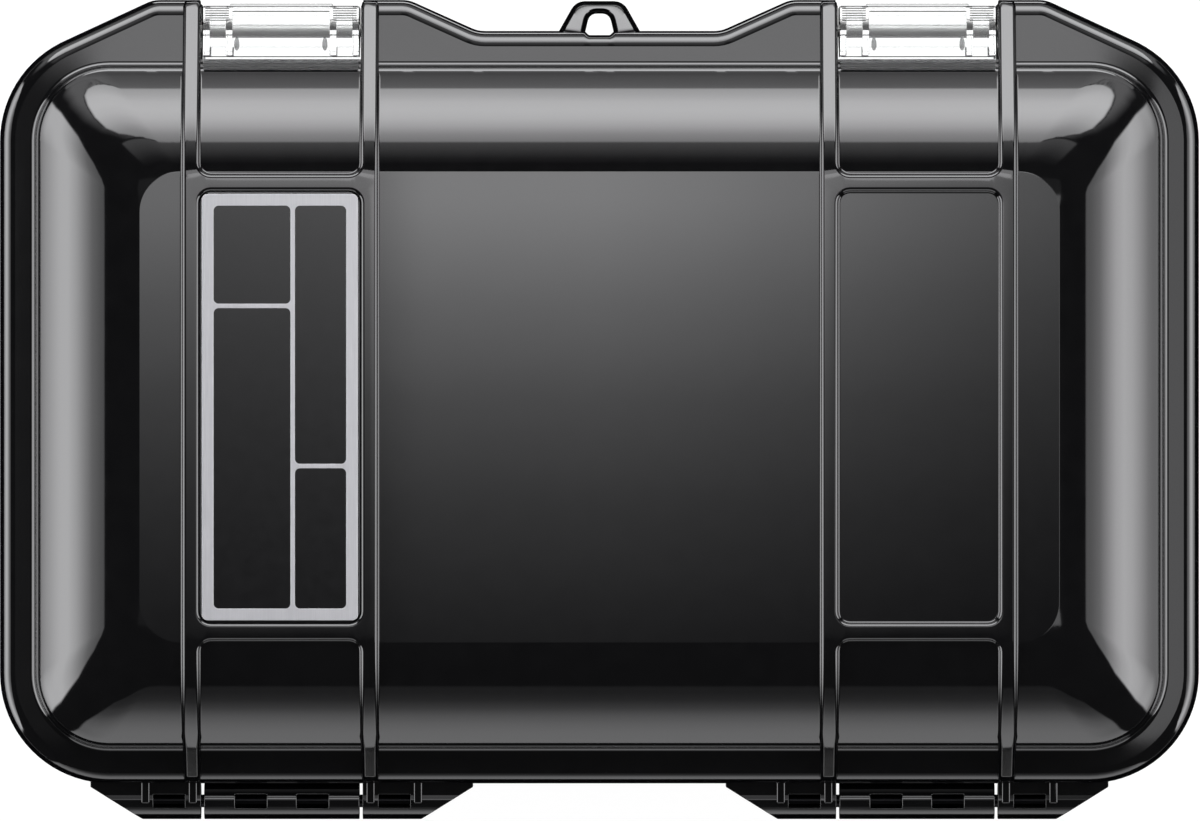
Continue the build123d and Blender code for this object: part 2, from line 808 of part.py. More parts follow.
# Pins about X = 0
with BuildPart() as latch_pin:
    with Locations((0, latch_pin_y, latch_pin_z)):
        Cylinder(
            latch_pin_radius,
            rib_pitch + rib_width - 2 * latch_pin_end_gap,
            rotation=(0, 90, 0),
        )

with BuildPart() as hinge_pin:
    with Locations((0, hinge_y, parting_z)):
        Cylinder(hinge_pin_radius, hinge_pin_length, rotation=(0, 90, 0))

# Nameplate of the right-hand band: a metal frame whose four fields hold dark inlays
plate_length = crossbar_spacing - rib_width - 2 * plate_gap
plate_width = latch_width
plate_low_z = flat_z + adhesive_thickness
plate_top_z = plate_low_z + plate_thickness
field_right = plate_width / 2 - plate_border
field_left = -field_right
field_front = -plate_length / 2 + plate_border
field_back = -field_front
wide_left = field_right - wide_inlay_width
narrow_right = wide_left - plate_bar
wide_split = field_front + short_inlay_front
narrow_split = field_back - short_inlay_back
fields = [
    (wide_left, field_right, field_front, wide_split),
    (wide_left, field_right, wide_split + plate_bar, field_back),
    (field_left, narrow_right, field_front, narrow_split - plate_bar),
    (field_left, narrow_right, narrow_split, field_back),
]


def field_plan():
    """The plan of the nameplate's four fields."""
    with BuildSketch() as plan:
        for left, right, front, back in fields:
            with Locations((band_centre + (left + right) / 2, rim_centre_y + (front + back) / 2)):
                RectangleRounded(right - left, back - front, inlay_corner)
    return plan.sketch


with BuildPart() as nameplate:
    with BuildSketch(Plane.XY.offset(plate_low_z)):
        with Locations((band_centre, rim_centre_y)):
            RectangleRounded(plate_width, plate_length, plate_corner)
    extrude(amount=plate_thickness)
    extrude(
        Pos(0, 0, plate_top_z - inlay_depth) * field_plan(),
        amount=inlay_depth,
        mode=Mode.SUBTRACT,
    )

with BuildPart() as nameplate_inlays:
    extrude(Pos(0, 0, plate_top_z - inlay_depth) * field_plan(), amount=inlay_depth)

with BuildPart() as nameplate_adhesive:
    with BuildSketch(Plane.XY.offset(flat_z)):
        with Locations((band_centre, rim_centre_y)):
            Rectangle(plate_width - 2 * adhesive_margin, plate_length - 2 * adhesive_margin)
    extrude(amount=adhesive_thickness)

# Pressure valve: body, membrane, its retaining ring, vented cap, o-ring and nut
head_front_y = boss_face_y - valve_head_thickness
membrane_front_y = head_front_y + cap_thickness + retainer_thickness
pocket_floor_y = membrane_front_y + membrane_thickness
stem_end_y = pad_face_y + nut_thickness + stem_past_nut


def valve_disc(back_y, radius, inner_radius=0):
    """A disc or ring about the valve's axis, on a plane that faces the front."""
    with BuildSketch(Plane.XZ.offset(-back_y)) as disc:
        with Locations((0, valve_height)):
            Circle(radius)
            if inner_radius:
                Circle(inner_radius, mode=Mode.SUBTRACT)
    return disc.sketch


with BuildPart() as valve_body:
    extrude(valve_disc(boss_face_y, valve_head_radius), amount=valve_head_thickness)
    fillet(valve_body.edges().group_by(Axis.Y)[0], valve_head_edge)
    extrude(valve_disc(stem_end_y, valve_stem_radius), amount=stem_end_y - boss_face_y)
    extrude(
        valve_disc(pocket_floor_y, valve_pocket_radius),
        amount=pocket_floor_y - head_front_y,
        mode=Mode.SUBTRACT,
    )
    extrude(
        valve_disc(stem_end_y, valve_bore_radius),
        amount=stem_end_y - pocket_floor_y,
        mode=Mode.SUBTRACT,
    )

with BuildPart() as valve_membrane:
    extrude(valve_disc(pocket_floor_y, membrane_radius), amount=membrane_thickness)

with BuildPart() as valve_retainer:
    extrude(
        valve_disc(membrane_front_y, valve_pocket_radius - valve_part_fit, retainer_inner_radius),
        amount=retainer_thickness,
    )

with BuildPart() as valve_cap:
    extrude(
        valve_disc(head_front_y + cap_thickness, valve_pocket_radius - valve_part_fit),
        amount=cap_thickness,
    )
    with BuildSketch(Plane.XZ.offset(-(head_front_y + cap_thickness))):
        with Locations((0, valve_height)):
            with PolarLocations(cap_slot_circle, cap_slots):
                SlotOverall(cap_slot_length, cap_slot_width)
    extrude(amount=cap_thickness, mode=Mode.SUBTRACT)

with BuildPart() as valve_o_ring:
    with Locations((0, boss_face_y + o_ring_groove / 2, valve_height)):
        Torus(o_ring_radius, o_ring_section_radius, rotation=(90, 0, 0))

with BuildPart() as valve_nut:
    with BuildSketch(Plane.XZ.offset(-(pad_face_y + nut_thickness))):
        with Locations((0, valve_height)):
            RegularPolygon(nut_across_flats / 2, 6, major_radius=False)
            Circle(valve_stem_radius + nut_fit, mode=Mode.SUBTRACT)
    extrude(amount=nut_thickness)

# Every piece in its place, each in a file of its own
pieces = {
    "base_shell": base_shell.part,
    "base_liner": base_liner.part,
    "lid_shell": lid_shell.part,
    "nameplate": nameplate.part,
    "nameplate_inlays": nameplate_inlays.part,
    "nameplate_adhesive": nameplate_adhesive.part,
    "valve_body": valve_body.part,
    "valve_cap": valve_cap.part,
    "valve_retainer": valve_retainer.part,
    "valve_membrane": valve_membrane.part,
    "valve_o_ring": valve_o_ring.part,
    "valve_nut": valve_nut.part,
}
for side, place in (("left", -band_centre), ("right", band_centre)):
    pieces[f"latch_{side}"] = Pos(place, 0, 0) * latch.part
    pieces[f"latch_pin_{side}"] = Pos(place, 0, 0) * latch_pin.part
    pieces[f"hinge_pin_{side}"] = Pos(place, 0, 0) * hinge_pin.part

for name, piece in pieces.items():
    piece.label = name
    export_step(piece, f"parts/{name}.step")
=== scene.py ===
"""Looks of a small waterproof hard case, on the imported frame.

The axes are the frame's own: +Z is up, the latches face -Y, the hinges +Y. Sizes are in
millimetres in the classes of the case, and in metres in every mesh and in the studio.
"""

import logging
from collections.abc import Callable, Sequence
from dataclasses import dataclass, field
from enum import Enum
from functools import cache, partial
from math import acos, asin, atan2, cos, degrees, hypot, pi, radians, sin, sqrt, tan

import bmesh
import bpy
from mathutils import Matrix, Vector
from mathutils.geometry import delaunay_2d_cdt


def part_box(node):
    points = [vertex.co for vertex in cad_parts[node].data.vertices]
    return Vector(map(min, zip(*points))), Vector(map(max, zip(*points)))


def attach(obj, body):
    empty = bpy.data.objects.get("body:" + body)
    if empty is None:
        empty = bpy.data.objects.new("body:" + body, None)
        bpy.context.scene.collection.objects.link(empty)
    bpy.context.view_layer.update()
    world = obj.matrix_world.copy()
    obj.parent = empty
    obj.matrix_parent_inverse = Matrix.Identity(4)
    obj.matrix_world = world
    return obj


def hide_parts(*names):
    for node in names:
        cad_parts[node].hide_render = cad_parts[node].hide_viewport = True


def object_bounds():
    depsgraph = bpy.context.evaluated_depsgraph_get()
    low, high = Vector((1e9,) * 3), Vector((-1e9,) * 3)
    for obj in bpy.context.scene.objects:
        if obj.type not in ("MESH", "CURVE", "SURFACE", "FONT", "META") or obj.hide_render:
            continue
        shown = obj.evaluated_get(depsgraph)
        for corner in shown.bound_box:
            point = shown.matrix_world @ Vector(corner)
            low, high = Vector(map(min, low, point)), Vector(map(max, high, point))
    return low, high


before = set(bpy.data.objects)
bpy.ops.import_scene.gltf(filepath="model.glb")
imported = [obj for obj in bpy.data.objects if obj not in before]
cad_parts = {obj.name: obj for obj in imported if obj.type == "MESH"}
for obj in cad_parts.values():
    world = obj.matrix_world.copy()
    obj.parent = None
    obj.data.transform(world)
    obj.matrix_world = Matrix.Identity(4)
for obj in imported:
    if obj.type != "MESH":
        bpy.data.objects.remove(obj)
CAD_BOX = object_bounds()
LOG = logging.getLogger("case")
MM = 0.001
EDGE_ANGLE = 30.0  # Degrees: the least angle between faces that counts as a moulded edge

Point = tuple[float, float]
Mesh = bpy.types.Mesh
Material = bpy.types.Material


def linear(hex_colour: str) -> tuple[float, float, float, float]:
    """Turns an sRGB hex colour into a linear one.

    Args:
        hex_colour: Six hex digits.

    Returns:
        Linear red, green, blue and an alpha of 1.
    """
    channels = []
    for start in (0, 2, 4):
        value = int(hex_colour[start : start + 2], 16) / 255
        channels.append(value / 12.92 if value <= 0.04045 else ((value + 0.055) / 1.055) ** 2.4)
    return (*channels, 1.0)


def add_node(
    tree: bpy.types.NodeTree,
    kind: str,
    inputs: dict[str | int, object] | None = None,
    **settings: object,
) -> bpy.types.Node:
    """Adds a node to a tree, with its settings, values and links.

    Args:
        tree: A material's, the world's or a geometry node tree.
        kind: The node's type name.
        inputs: For each input's name or number, a value, an output socket to link, or a node
            whose first output is linked.
        **settings: Properties of the node itself.

    Returns:
        The new node.
    """
    node = tree.nodes.new(kind)
    for name, value in settings.items():
        setattr(node, name, value)
    for name, value in (inputs or {}).items():
        if isinstance(value, bpy.types.Node):
            value = value.outputs[0]
        if isinstance(value, bpy.types.NodeSocket):
            tree.links.new(value, node.inputs[name])
        else:
            node.inputs[name].default_value = value
    return node


def emptied(owner: Material | bpy.types.World) -> Callable[..., bpy.types.Node]:
    """Empties a material's or world's node tree, and gives the function that adds to it."""
    owner.use_nodes = True
    owner.node_tree.nodes.clear()
    return partial(add_node, owner.node_tree)


def new_material(name: str) -> tuple[Material, Callable[..., bpy.types.Node]]:
    """Makes an empty node material.

    Args:
        name: The material's name.

    Returns:
        The material, and the function that adds a node to it.
    """
    material = bpy.data.materials.new(name)
    return material, emptied(material)


def set_stops(ramp: bpy.types.Node, *stops: tuple[float, str]) -> None:
    """Sets the places and the colours of a colour ramp's stops."""
    for element, (place, colour) in zip(ramp.color_ramp.elements, stops):
        element.position = place
        element.color = linear(colour)


def per_mm(size: float) -> float:
    """Gives the noise scale at which a pattern's features are about a size in millimetres."""
    return 1 / (size * MM)


@dataclass(frozen=True)
class MouldedPlastic:
    """Solid-coloured plastic, injection moulded in a lightly grained tool.

    The grain breaks up the edge of a reflection, and slow waves of sink and flow bend it a little.
    """

    name: str
    colour: str
    worn_colour: str
    roughness: float
    ior: float = 1.53
    grain: float = 0.22
    grain_height: float = 0.0012
    flow: float = 14.0
    flow_height: float = 0.006
    rub: float = 3.0

    def build(self) -> Material:
        """Builds the material.

        Returns:
            The finished material.
        """
        material, add = new_material(self.name)
        place = add("ShaderNodeTexCoord").outputs["Object"]
        grain = add("ShaderNodeTexNoise", {
            "Vector": place, "Scale": per_mm(self.grain), "Detail": 2.0, "Roughness": 0.6,
        })
        flow = add("ShaderNodeTexNoise", {
            "Vector": place, "Scale": per_mm(self.flow), "Detail": 1.0,
        })
        rub = add("ShaderNodeTexNoise", {
            "Vector": place, "Scale": per_mm(self.rub), "Detail": 5.0, "Roughness": 0.65,
        })
        colour = add("ShaderNodeValToRGB", {"Fac": rub})
        set_stops(colour, (0.35, self.colour), (0.75, self.worn_colour))
        rough = add("ShaderNodeMapRange", {
            "Value": rub, "From Min": 0.3, "From Max": 0.7, "To Min": self.roughness * 0.92,
            "To Max": self.roughness * 1.1,
        })
        waves = add("ShaderNodeBump", {"Height": flow, "Distance": self.flow_height * MM})
        pits = add("ShaderNodeBump", {
            "Height": grain, "Distance": self.grain_height * MM, "Normal": waves,
        })
        shader = add("ShaderNodeBsdfPrincipled", {
            "Base Color": colour, "Roughness": rough, "IOR": self.ior, "Normal": pits,
        })
        add("ShaderNodeOutputMaterial", {"Surface": shader})
        return material


@dataclass(frozen=True)
class ClearPolycarbonate:
    """Water-clear polycarbonate, moulded in a polished tool: glassy, with faint flow lines.

    The walls are thin, so what lies behind is hardly bent, while the skin reflects as a glass does.
    The fine ridges, steps and ovals that the ridge attribute marks are painted dark grey: painted
    shade for the dark lines that their edges show.
    """

    name: str = "clear_polycarbonate"
    colour: str = "fbfcfc"
    # Painted shade: the dark grey mixed into the colour where the ridge attribute is set
    ridge_painted_shade: str = "1c1c1e"
    roughness: float = 0.01
    bend: float = 1.17
    gloss: float = 0.25
    gloss_ior: float = 1.585
    flow: float = 5.0
    flow_height: float = 0.002

    def build(self) -> Material:
        """Builds the material.

        Returns:
            The finished material.
        """
        material, add = new_material(self.name)
        place = add("ShaderNodeTexCoord").outputs["Object"]
        flow = add("ShaderNodeTexNoise", {
            "Vector": place, "Scale": per_mm(self.flow), "Detail": 2.0,
        })
        bump = add("ShaderNodeBump", {"Height": flow, "Distance": self.flow_height * MM})
        ridge = add(
            "ShaderNodeAttribute", attribute_name="ridge", attribute_type="GEOMETRY"
        ).outputs["Fac"]
        # Painted shade: the colour turns dark grey where the ridge attribute is set, for the dark
        # lines at the ridges' edges
        colour = add("ShaderNodeValToRGB", {"Fac": ridge})
        set_stops(colour, (0.0, self.colour), (1.0, self.ridge_painted_shade))
        shader = add("ShaderNodeBsdfPrincipled", {
            "Base Color": colour, "Roughness": self.roughness, "IOR": self.bend,
            "Transmission Weight": 1.0, "Coat Weight": self.gloss, "Coat Roughness": self.roughness,
            "Coat IOR": self.gloss_ior, "Normal": bump,
        })
        add("ShaderNodeOutputMaterial", {"Surface": shader})
        return material


@dataclass(frozen=True)
class DirectionalMetal:
    """Metal whose surface was worked in one direction, which leaves fine parallel lines."""

    name: str
    colour: str
    dark_colour: str
    roughness: float
    line_width: float
    line_length: float
    line_height: float
    along: Vector = Vector((0.0, 1.0, 0.0))

    def build(self) -> Material:
        """Builds the material.

        Returns:
            The finished material.
        """
        material, add = new_material(self.name)
        place = add("ShaderNodeTexCoord").outputs["Object"]
        stretch = [
            per_mm(self.line_length) if axis else per_mm(self.line_width) for axis in self.along
        ]
        mapping = add("ShaderNodeMapping", {"Vector": place, "Scale": stretch})
        lines = add("ShaderNodeTexNoise", {
            "Vector": mapping, "Scale": 1.0, "Detail": 3.0, "Roughness": 0.7,
        })
        colour = add("ShaderNodeValToRGB", {"Fac": lines})
        set_stops(colour, (0.3, self.dark_colour), (0.65, self.colour))
        rough = add("ShaderNodeMapRange", {
            "Value": lines, "From Min": 0.3, "From Max": 0.7, "To Min": self.roughness * 0.85,
            "To Max": self.roughness * 1.15,
        })
        bump = add("ShaderNodeBump", {"Height": lines, "Distance": self.line_height * MM})
        shader = add("ShaderNodeBsdfPrincipled", {
            "Base Color": colour, "Metallic": 1.0, "Roughness": rough, "Normal": bump,
        })
        add("ShaderNodeOutputMaterial", {"Surface": shader})
        return material


class Finish(Enum):
    """The finishes that the case's pieces have."""

    CASE = "case"
    CLEAR = "clear"
    STEEL = "steel"
    SHADE_DARKENED = "shade_darkened"
    PLATE = "plate"
    ENAMEL = "enamel"
    RUBBER = "rubber"
    VALVE = "valve"
    MEMBRANE = "membrane"
    ADHESIVE = "adhesive"


FINISHES = {
    # Tinted-through polypropylene blend from a finely polished tool: near black and glossy
    Finish.CASE: MouldedPlastic(
        "black_moulded_plastic", "060607", "0a0a0b", 0.05, 1.8, grain_height=0.0002
    ),
    # Glass-clear latches, which show the pale ground and the dark rim through them
    Finish.CLEAR: ClearPolycarbonate(),
    # Drawn stainless pin: satin, with lines along its length
    Finish.STEEL: DirectionalMetal(
        "drawn_steel", "a5a4a2", "8a8988", 0.5, 0.06, 4.0, 0.0008, Vector((1.0, 0.0, 0.0))
    ),
    # Hinge pins: the drawn steel painted dark grey, painted shade for the shadow they lie in inside
    # the hinge windows, with the drawing lines still showing
    Finish.SHADE_DARKENED: DirectionalMetal(
        "steel_with_painted_shade", "2b2b2d", "1c1c1e", 0.3, 0.06, 4.0, 0.0008, Vector((1.0, 0.0, 0.0))
    ),
    # Aluminium sheet brushed along its length, then clear anodised: pale and satin
    Finish.PLATE: DirectionalMetal(
        "brushed_aluminium", "dcdcdf", "cfcfd3", 0.46, 0.05, 6.0, 0.0006
    ),
    # Stoved enamel fill: black and level, with a softer gloss than the case
    Finish.ENAMEL: MouldedPlastic(
        "stoved_enamel", "0b0b0c", "101011", 0.14, 1.5, 0.5, 0.0004, 6.0, 0.002, 2.0
    ),
    # Moulded thermoplastic rubber: matt, with a soft sheen
    Finish.RUBBER: MouldedPlastic(
        "moulded_rubber", "19191a", "232324", 0.62, 1.5, 0.3, 0.006, 20.0, 0.006, 2.0
    ),
    # Small glass-filled valve mouldings: a little greyer and more matt than the shells
    Finish.VALVE: MouldedPlastic(
        "valve_moulding", "161617", "1c1c1d", 0.36, 1.53, 0.25, 0.003, 6.0, 0.002, 1.5
    ),
    # Pressed fluoropolymer sheet: white, dull and slightly fibrous
    Finish.MEMBRANE: MouldedPlastic(
        "pressed_membrane", "e9e8e4", "dedcd6", 0.8, 1.38, 0.12, 0.01, 3.0, 0.002, 0.6
    ),
    # Acrylic foam adhesive: pale grey and matt
    Finish.ADHESIVE: MouldedPlastic(
        "acrylic_adhesive", "8c8d8e", "9a9b9c", 0.7, 1.47, 0.3, 0.006, 4.0, 0.002, 1.0
    ),
}


@cache
def material_of(finish: Finish) -> Material:
    """Builds a finish's material the first time, and gives the same one after that."""
    return FINISHES[finish].build()


def new_object(name: str, mesh: Mesh) -> bpy.types.Object:
    """Makes an object of a mesh, and links it to the scene."""
    made = bpy.data.objects.new(name, mesh)
    bpy.context.scene.collection.objects.link(made)
    return made


def applied(holder: bpy.types.Object) -> Mesh:
    """Applies an object's modifiers.

    Args:
        holder: The object, which is removed together with its mesh.

    Returns:
        The new mesh.
    """
    before = holder.data
    depsgraph = bpy.context.evaluated_depsgraph_get()
    result = bpy.data.meshes.new_from_object(holder.evaluated_get(depsgraph))
    bpy.data.objects.remove(holder)
    bpy.data.meshes.remove(before)
    return result


def weighted(mesh: Mesh, angle: float = 34.0, bevel: float = 0.0) -> Mesh:
    """Shades a mesh smooth between its sharp edges, with normals that favour its large faces.

    Args:
        mesh: The mesh, which is removed.
        angle: The least angle of a sharp edge, in degrees.
        bevel: The width of a round on edges sharper than that, in metres, or 0 for none.

    Returns:
        The new mesh.
    """
    holder = new_object("holder", mesh)
    mesh.shade_smooth()
    if bevel:
        rounds = holder.modifiers.new("round", "BEVEL")
        rounds.width = bevel
        rounds.segments = 3
        rounds.limit_method = "ANGLE"
        rounds.angle_limit = radians(angle)
        rounds.miter_outer = "MITER_ARC"
    else:
        mesh.set_sharp_from_angle(angle=radians(angle))
    weigh = holder.modifiers.new("weigh", "WEIGHTED_NORMAL")
    weigh.keep_sharp = True
    weigh.weight = 60
    return applied(holder)


def joined(meshes: Sequence[Mesh]) -> Mesh:
    """Joins closed meshes into one, and keeps their custom normals.

    Args:
        meshes: The meshes, which are removed.

    Returns:
        The new mesh.
    """
    holders = [new_object("part", mesh) for mesh in meshes]
    with bpy.context.temp_override(
        active_object=holders[0], selected_objects=holders, selected_editable_objects=holders
    ):
        bpy.ops.object.join()
    result = holders[0].data
    bpy.data.objects.remove(holders[0])
    return result


def piece(name: str, mesh: Mesh, finish: Finish, body: str, node: str) -> None:
    """Puts a finished mesh in the scene as a piece of the case.

    Args:
        name: The piece's name.
        mesh: Its mesh, in place.
        finish: What it is made of.
        body: The body that it moves with.
        node: The CAD node that it stands for.
    """
    mesh.name = name
    mesh.materials.clear()
    mesh.materials.append(material_of(finish))
    for polygon in mesh.polygons:
        polygon.material_index = 0
    made = new_object(name, mesh)
    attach(made, body)
    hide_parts(node)
    LOG.info("%s: %d faces, rides on %s", name, len(mesh.polygons), body)


def mesh_of(points: Sequence[Sequence[float]], faces: Sequence[Sequence[int]]) -> Mesh:
    """Makes a mesh whose doubles are merged and whose faces point outwards.

    Args:
        points: Its points, in millimetres.
        faces: Its faces, as numbers of points.

    Returns:
        The mesh.
    """
    mesh = bpy.data.meshes.new("made")
    placed = [tuple(value * MM for value in point) for point in points]
    mesh.from_pydata(placed, [], [tuple(face) for face in faces])
    work = bmesh.new()
    work.from_mesh(mesh)
    bmesh.ops.remove_doubles(work, verts=work.verts, dist=MM / 1000)
    bmesh.ops.dissolve_degenerate(work, edges=work.edges, dist=MM / 2000)
    bmesh.ops.recalc_face_normals(work, faces=work.faces)
    work.to_mesh(mesh)
    work.free()
    return mesh


def tube_faces(rings: int, count: int) -> list[Sequence[int]]:
    """Gives the faces of a closed tube whose points are numbered ring by ring.

    Args:
        rings: How many rings there are.
        count: How many points each has.

    Returns:
        The quads between the rings, and the two end caps.
    """
    faces: list[Sequence[int]] = []
    for first in range(0, (rings - 1) * count, count):
        for k in range(count):
            here, there = first + k, first + (k + 1) % count
            faces.append((here, there, there + count, here + count))
    last = (rings - 1) * count
    return [*faces, range(count), range(last, last + count)]


def grid_faces(rows: int, columns: int) -> list[Sequence[int]]:
    """Gives the quads of a sheet whose points are numbered row by row.

    Args:
        rows: How many quads it has one way.
        columns: How many it has the other way.

    Returns:
        The quads.
    """
    wide = columns + 1
    return [
        (first, first + wide, first + wide + 1, first + 1)
        for row in range(rows)
        for first in range(row * wide, row * wide + columns)
    ]


def smooth_step(value: float) -> float:
    """Eases a value from 0 to 1, and holds it there outside that range."""
    value = min(1.0, max(0.0, value))
    return value * value * (3 - 2 * value)


def rounded(corners: Sequence[tuple[float, float, float]], closed: bool = False) -> list[Point]:
    """Rounds the corners of an outline.

    Args:
        corners: Each corner's two coordinates and its radius.
        closed: Whether the last corner joins the first.

    Returns:
        The outline's points, with arcs at the rounded corners.
    """
    outline: list[Point] = []
    count = len(corners)
    for k, (u, v, radius) in enumerate(corners):
        if radius == 0 or (not closed and k in (0, count - 1)):
            outline.append((u, v))
            continue
        here = Vector((u, v))
        before = (Vector(corners[k - 1][:2]) - here).normalized()
        after = (Vector(corners[(k + 1) % count][:2]) - here).normalized()
        half = before.angle(after) / 2
        middle = here + (before + after).normalized() * (radius / sin(half))
        start = here + before * (radius / tan(half)) - middle
        turn = pi - 2 * half
        sense = 1 if start.x * before.y - start.y * before.x < 0 else -1
        steps = max(2, round(degrees(turn) / 15))
        for step in range(steps + 1):
            angle = sense * turn * step / steps
            outline.append(
                (
                    middle.x + start.x * cos(angle) - start.y * sin(angle),
                    middle.y + start.x * sin(angle) + start.y * cos(angle),
                )
            )
    return outline


@dataclass(frozen=True)
class CaseSizes:
    """Sizes that the shells share, in millimetres. The overall ones come from the frame."""

    width: float = (CAD_BOX[1].x - CAD_BOX[0].x) / MM
    front_y: float = CAD_BOX[0].y / MM
    back_y: float = CAD_BOX[1].y / MM
    knuckle_radius: float = 2.85
    guard_reach: float = 4.87
    rim_corner: float = 17.3
    rim_edge: float = 2.45
    parting_edge: float = 0.4
    parting_z: float = 57.5
    lid_rim_top: float = 64.7
    base_rim_bottom: float = 51.0
    wall: float = 3.0
    band_centre: float = 49.9
    rib_pitch: float = 27.9
    rib_width: float = 2.8
    rib_height: float = 0.8
    crossbar_spacing: float = 70.1
    ear_set_back: float = 0.25
    bay_set_back: float = 4.55
    guard_outer_slope: float = 24.8
    guard_inner_slope: float = 24.2
    guard_inner_end: float = 29.9
    guard_round: float = 5.0
    eye_notch: float = 0.65
    wall_inset: float = 6.47
    core_inset: float = 2.4
    core_width: float = 2.3

    @property
    def rim_front_y(self) -> float:
        """The rims' front edge, away from the guards."""
        return self.front_y + self.guard_reach

    @property
    def rim_back_y(self) -> float:
        """The rims' back edge."""
        return self.back_y - 2 * self.knuckle_radius

    @property
    def rim_centre_y(self) -> float:
        """The middle of the rims from front to back."""
        return (self.rim_front_y + self.rim_back_y) / 2

    @property
    def hinge_y(self) -> float:
        """The hinge pins' axis."""
        return self.back_y - self.knuckle_radius

    @property
    def rim_depth(self) -> float:
        """The rims' size from front to back."""
        return self.rim_back_y - self.rim_front_y

    @property
    def bay_half(self) -> float:
        """Half the width of a latch bay."""
        return (self.rib_pitch - self.rib_width) / 2

    @property
    def bay_wall_y(self) -> float:
        """The wall at the back of a latch bay."""
        return self.rim_front_y + self.bay_set_back


SIZES = CaseSizes()


def fillet_drop(run: float, slope: float, radius: float) -> float:
    """Gives how far a rounded slope has fallen below the level that it starts from.

    Args:
        run: The distance past the start of the round.
        slope: The slope's angle, in degrees.
        radius: The round's radius.

    Returns:
        The drop, or 0 before the start.
    """
    arc_run = radius * sin(radians(slope))
    if run <= 0:
        return 0.0
    if run < arc_run:
        return radius - sqrt(radius * radius - run * run)
    return radius * (1 - cos(radians(slope))) + (run - arc_run) * tan(radians(slope))


@dataclass(frozen=True)
class Ring:
    """One closed line round a shell: its height, its inset and what it follows."""

    z: float
    inset: float
    corner: float | None = None
    follows_rim: bool = False
    groove_floor: bool = False
    notched: bool = False
    front: tuple[float, float] | None = None


@dataclass(frozen=True)
class Station:
    """A place on every ring: on a straight side, or on a corner's arc."""

    side: Vector
    along: float = 0.0
    angle: float = 0.0
    is_arc: bool = False


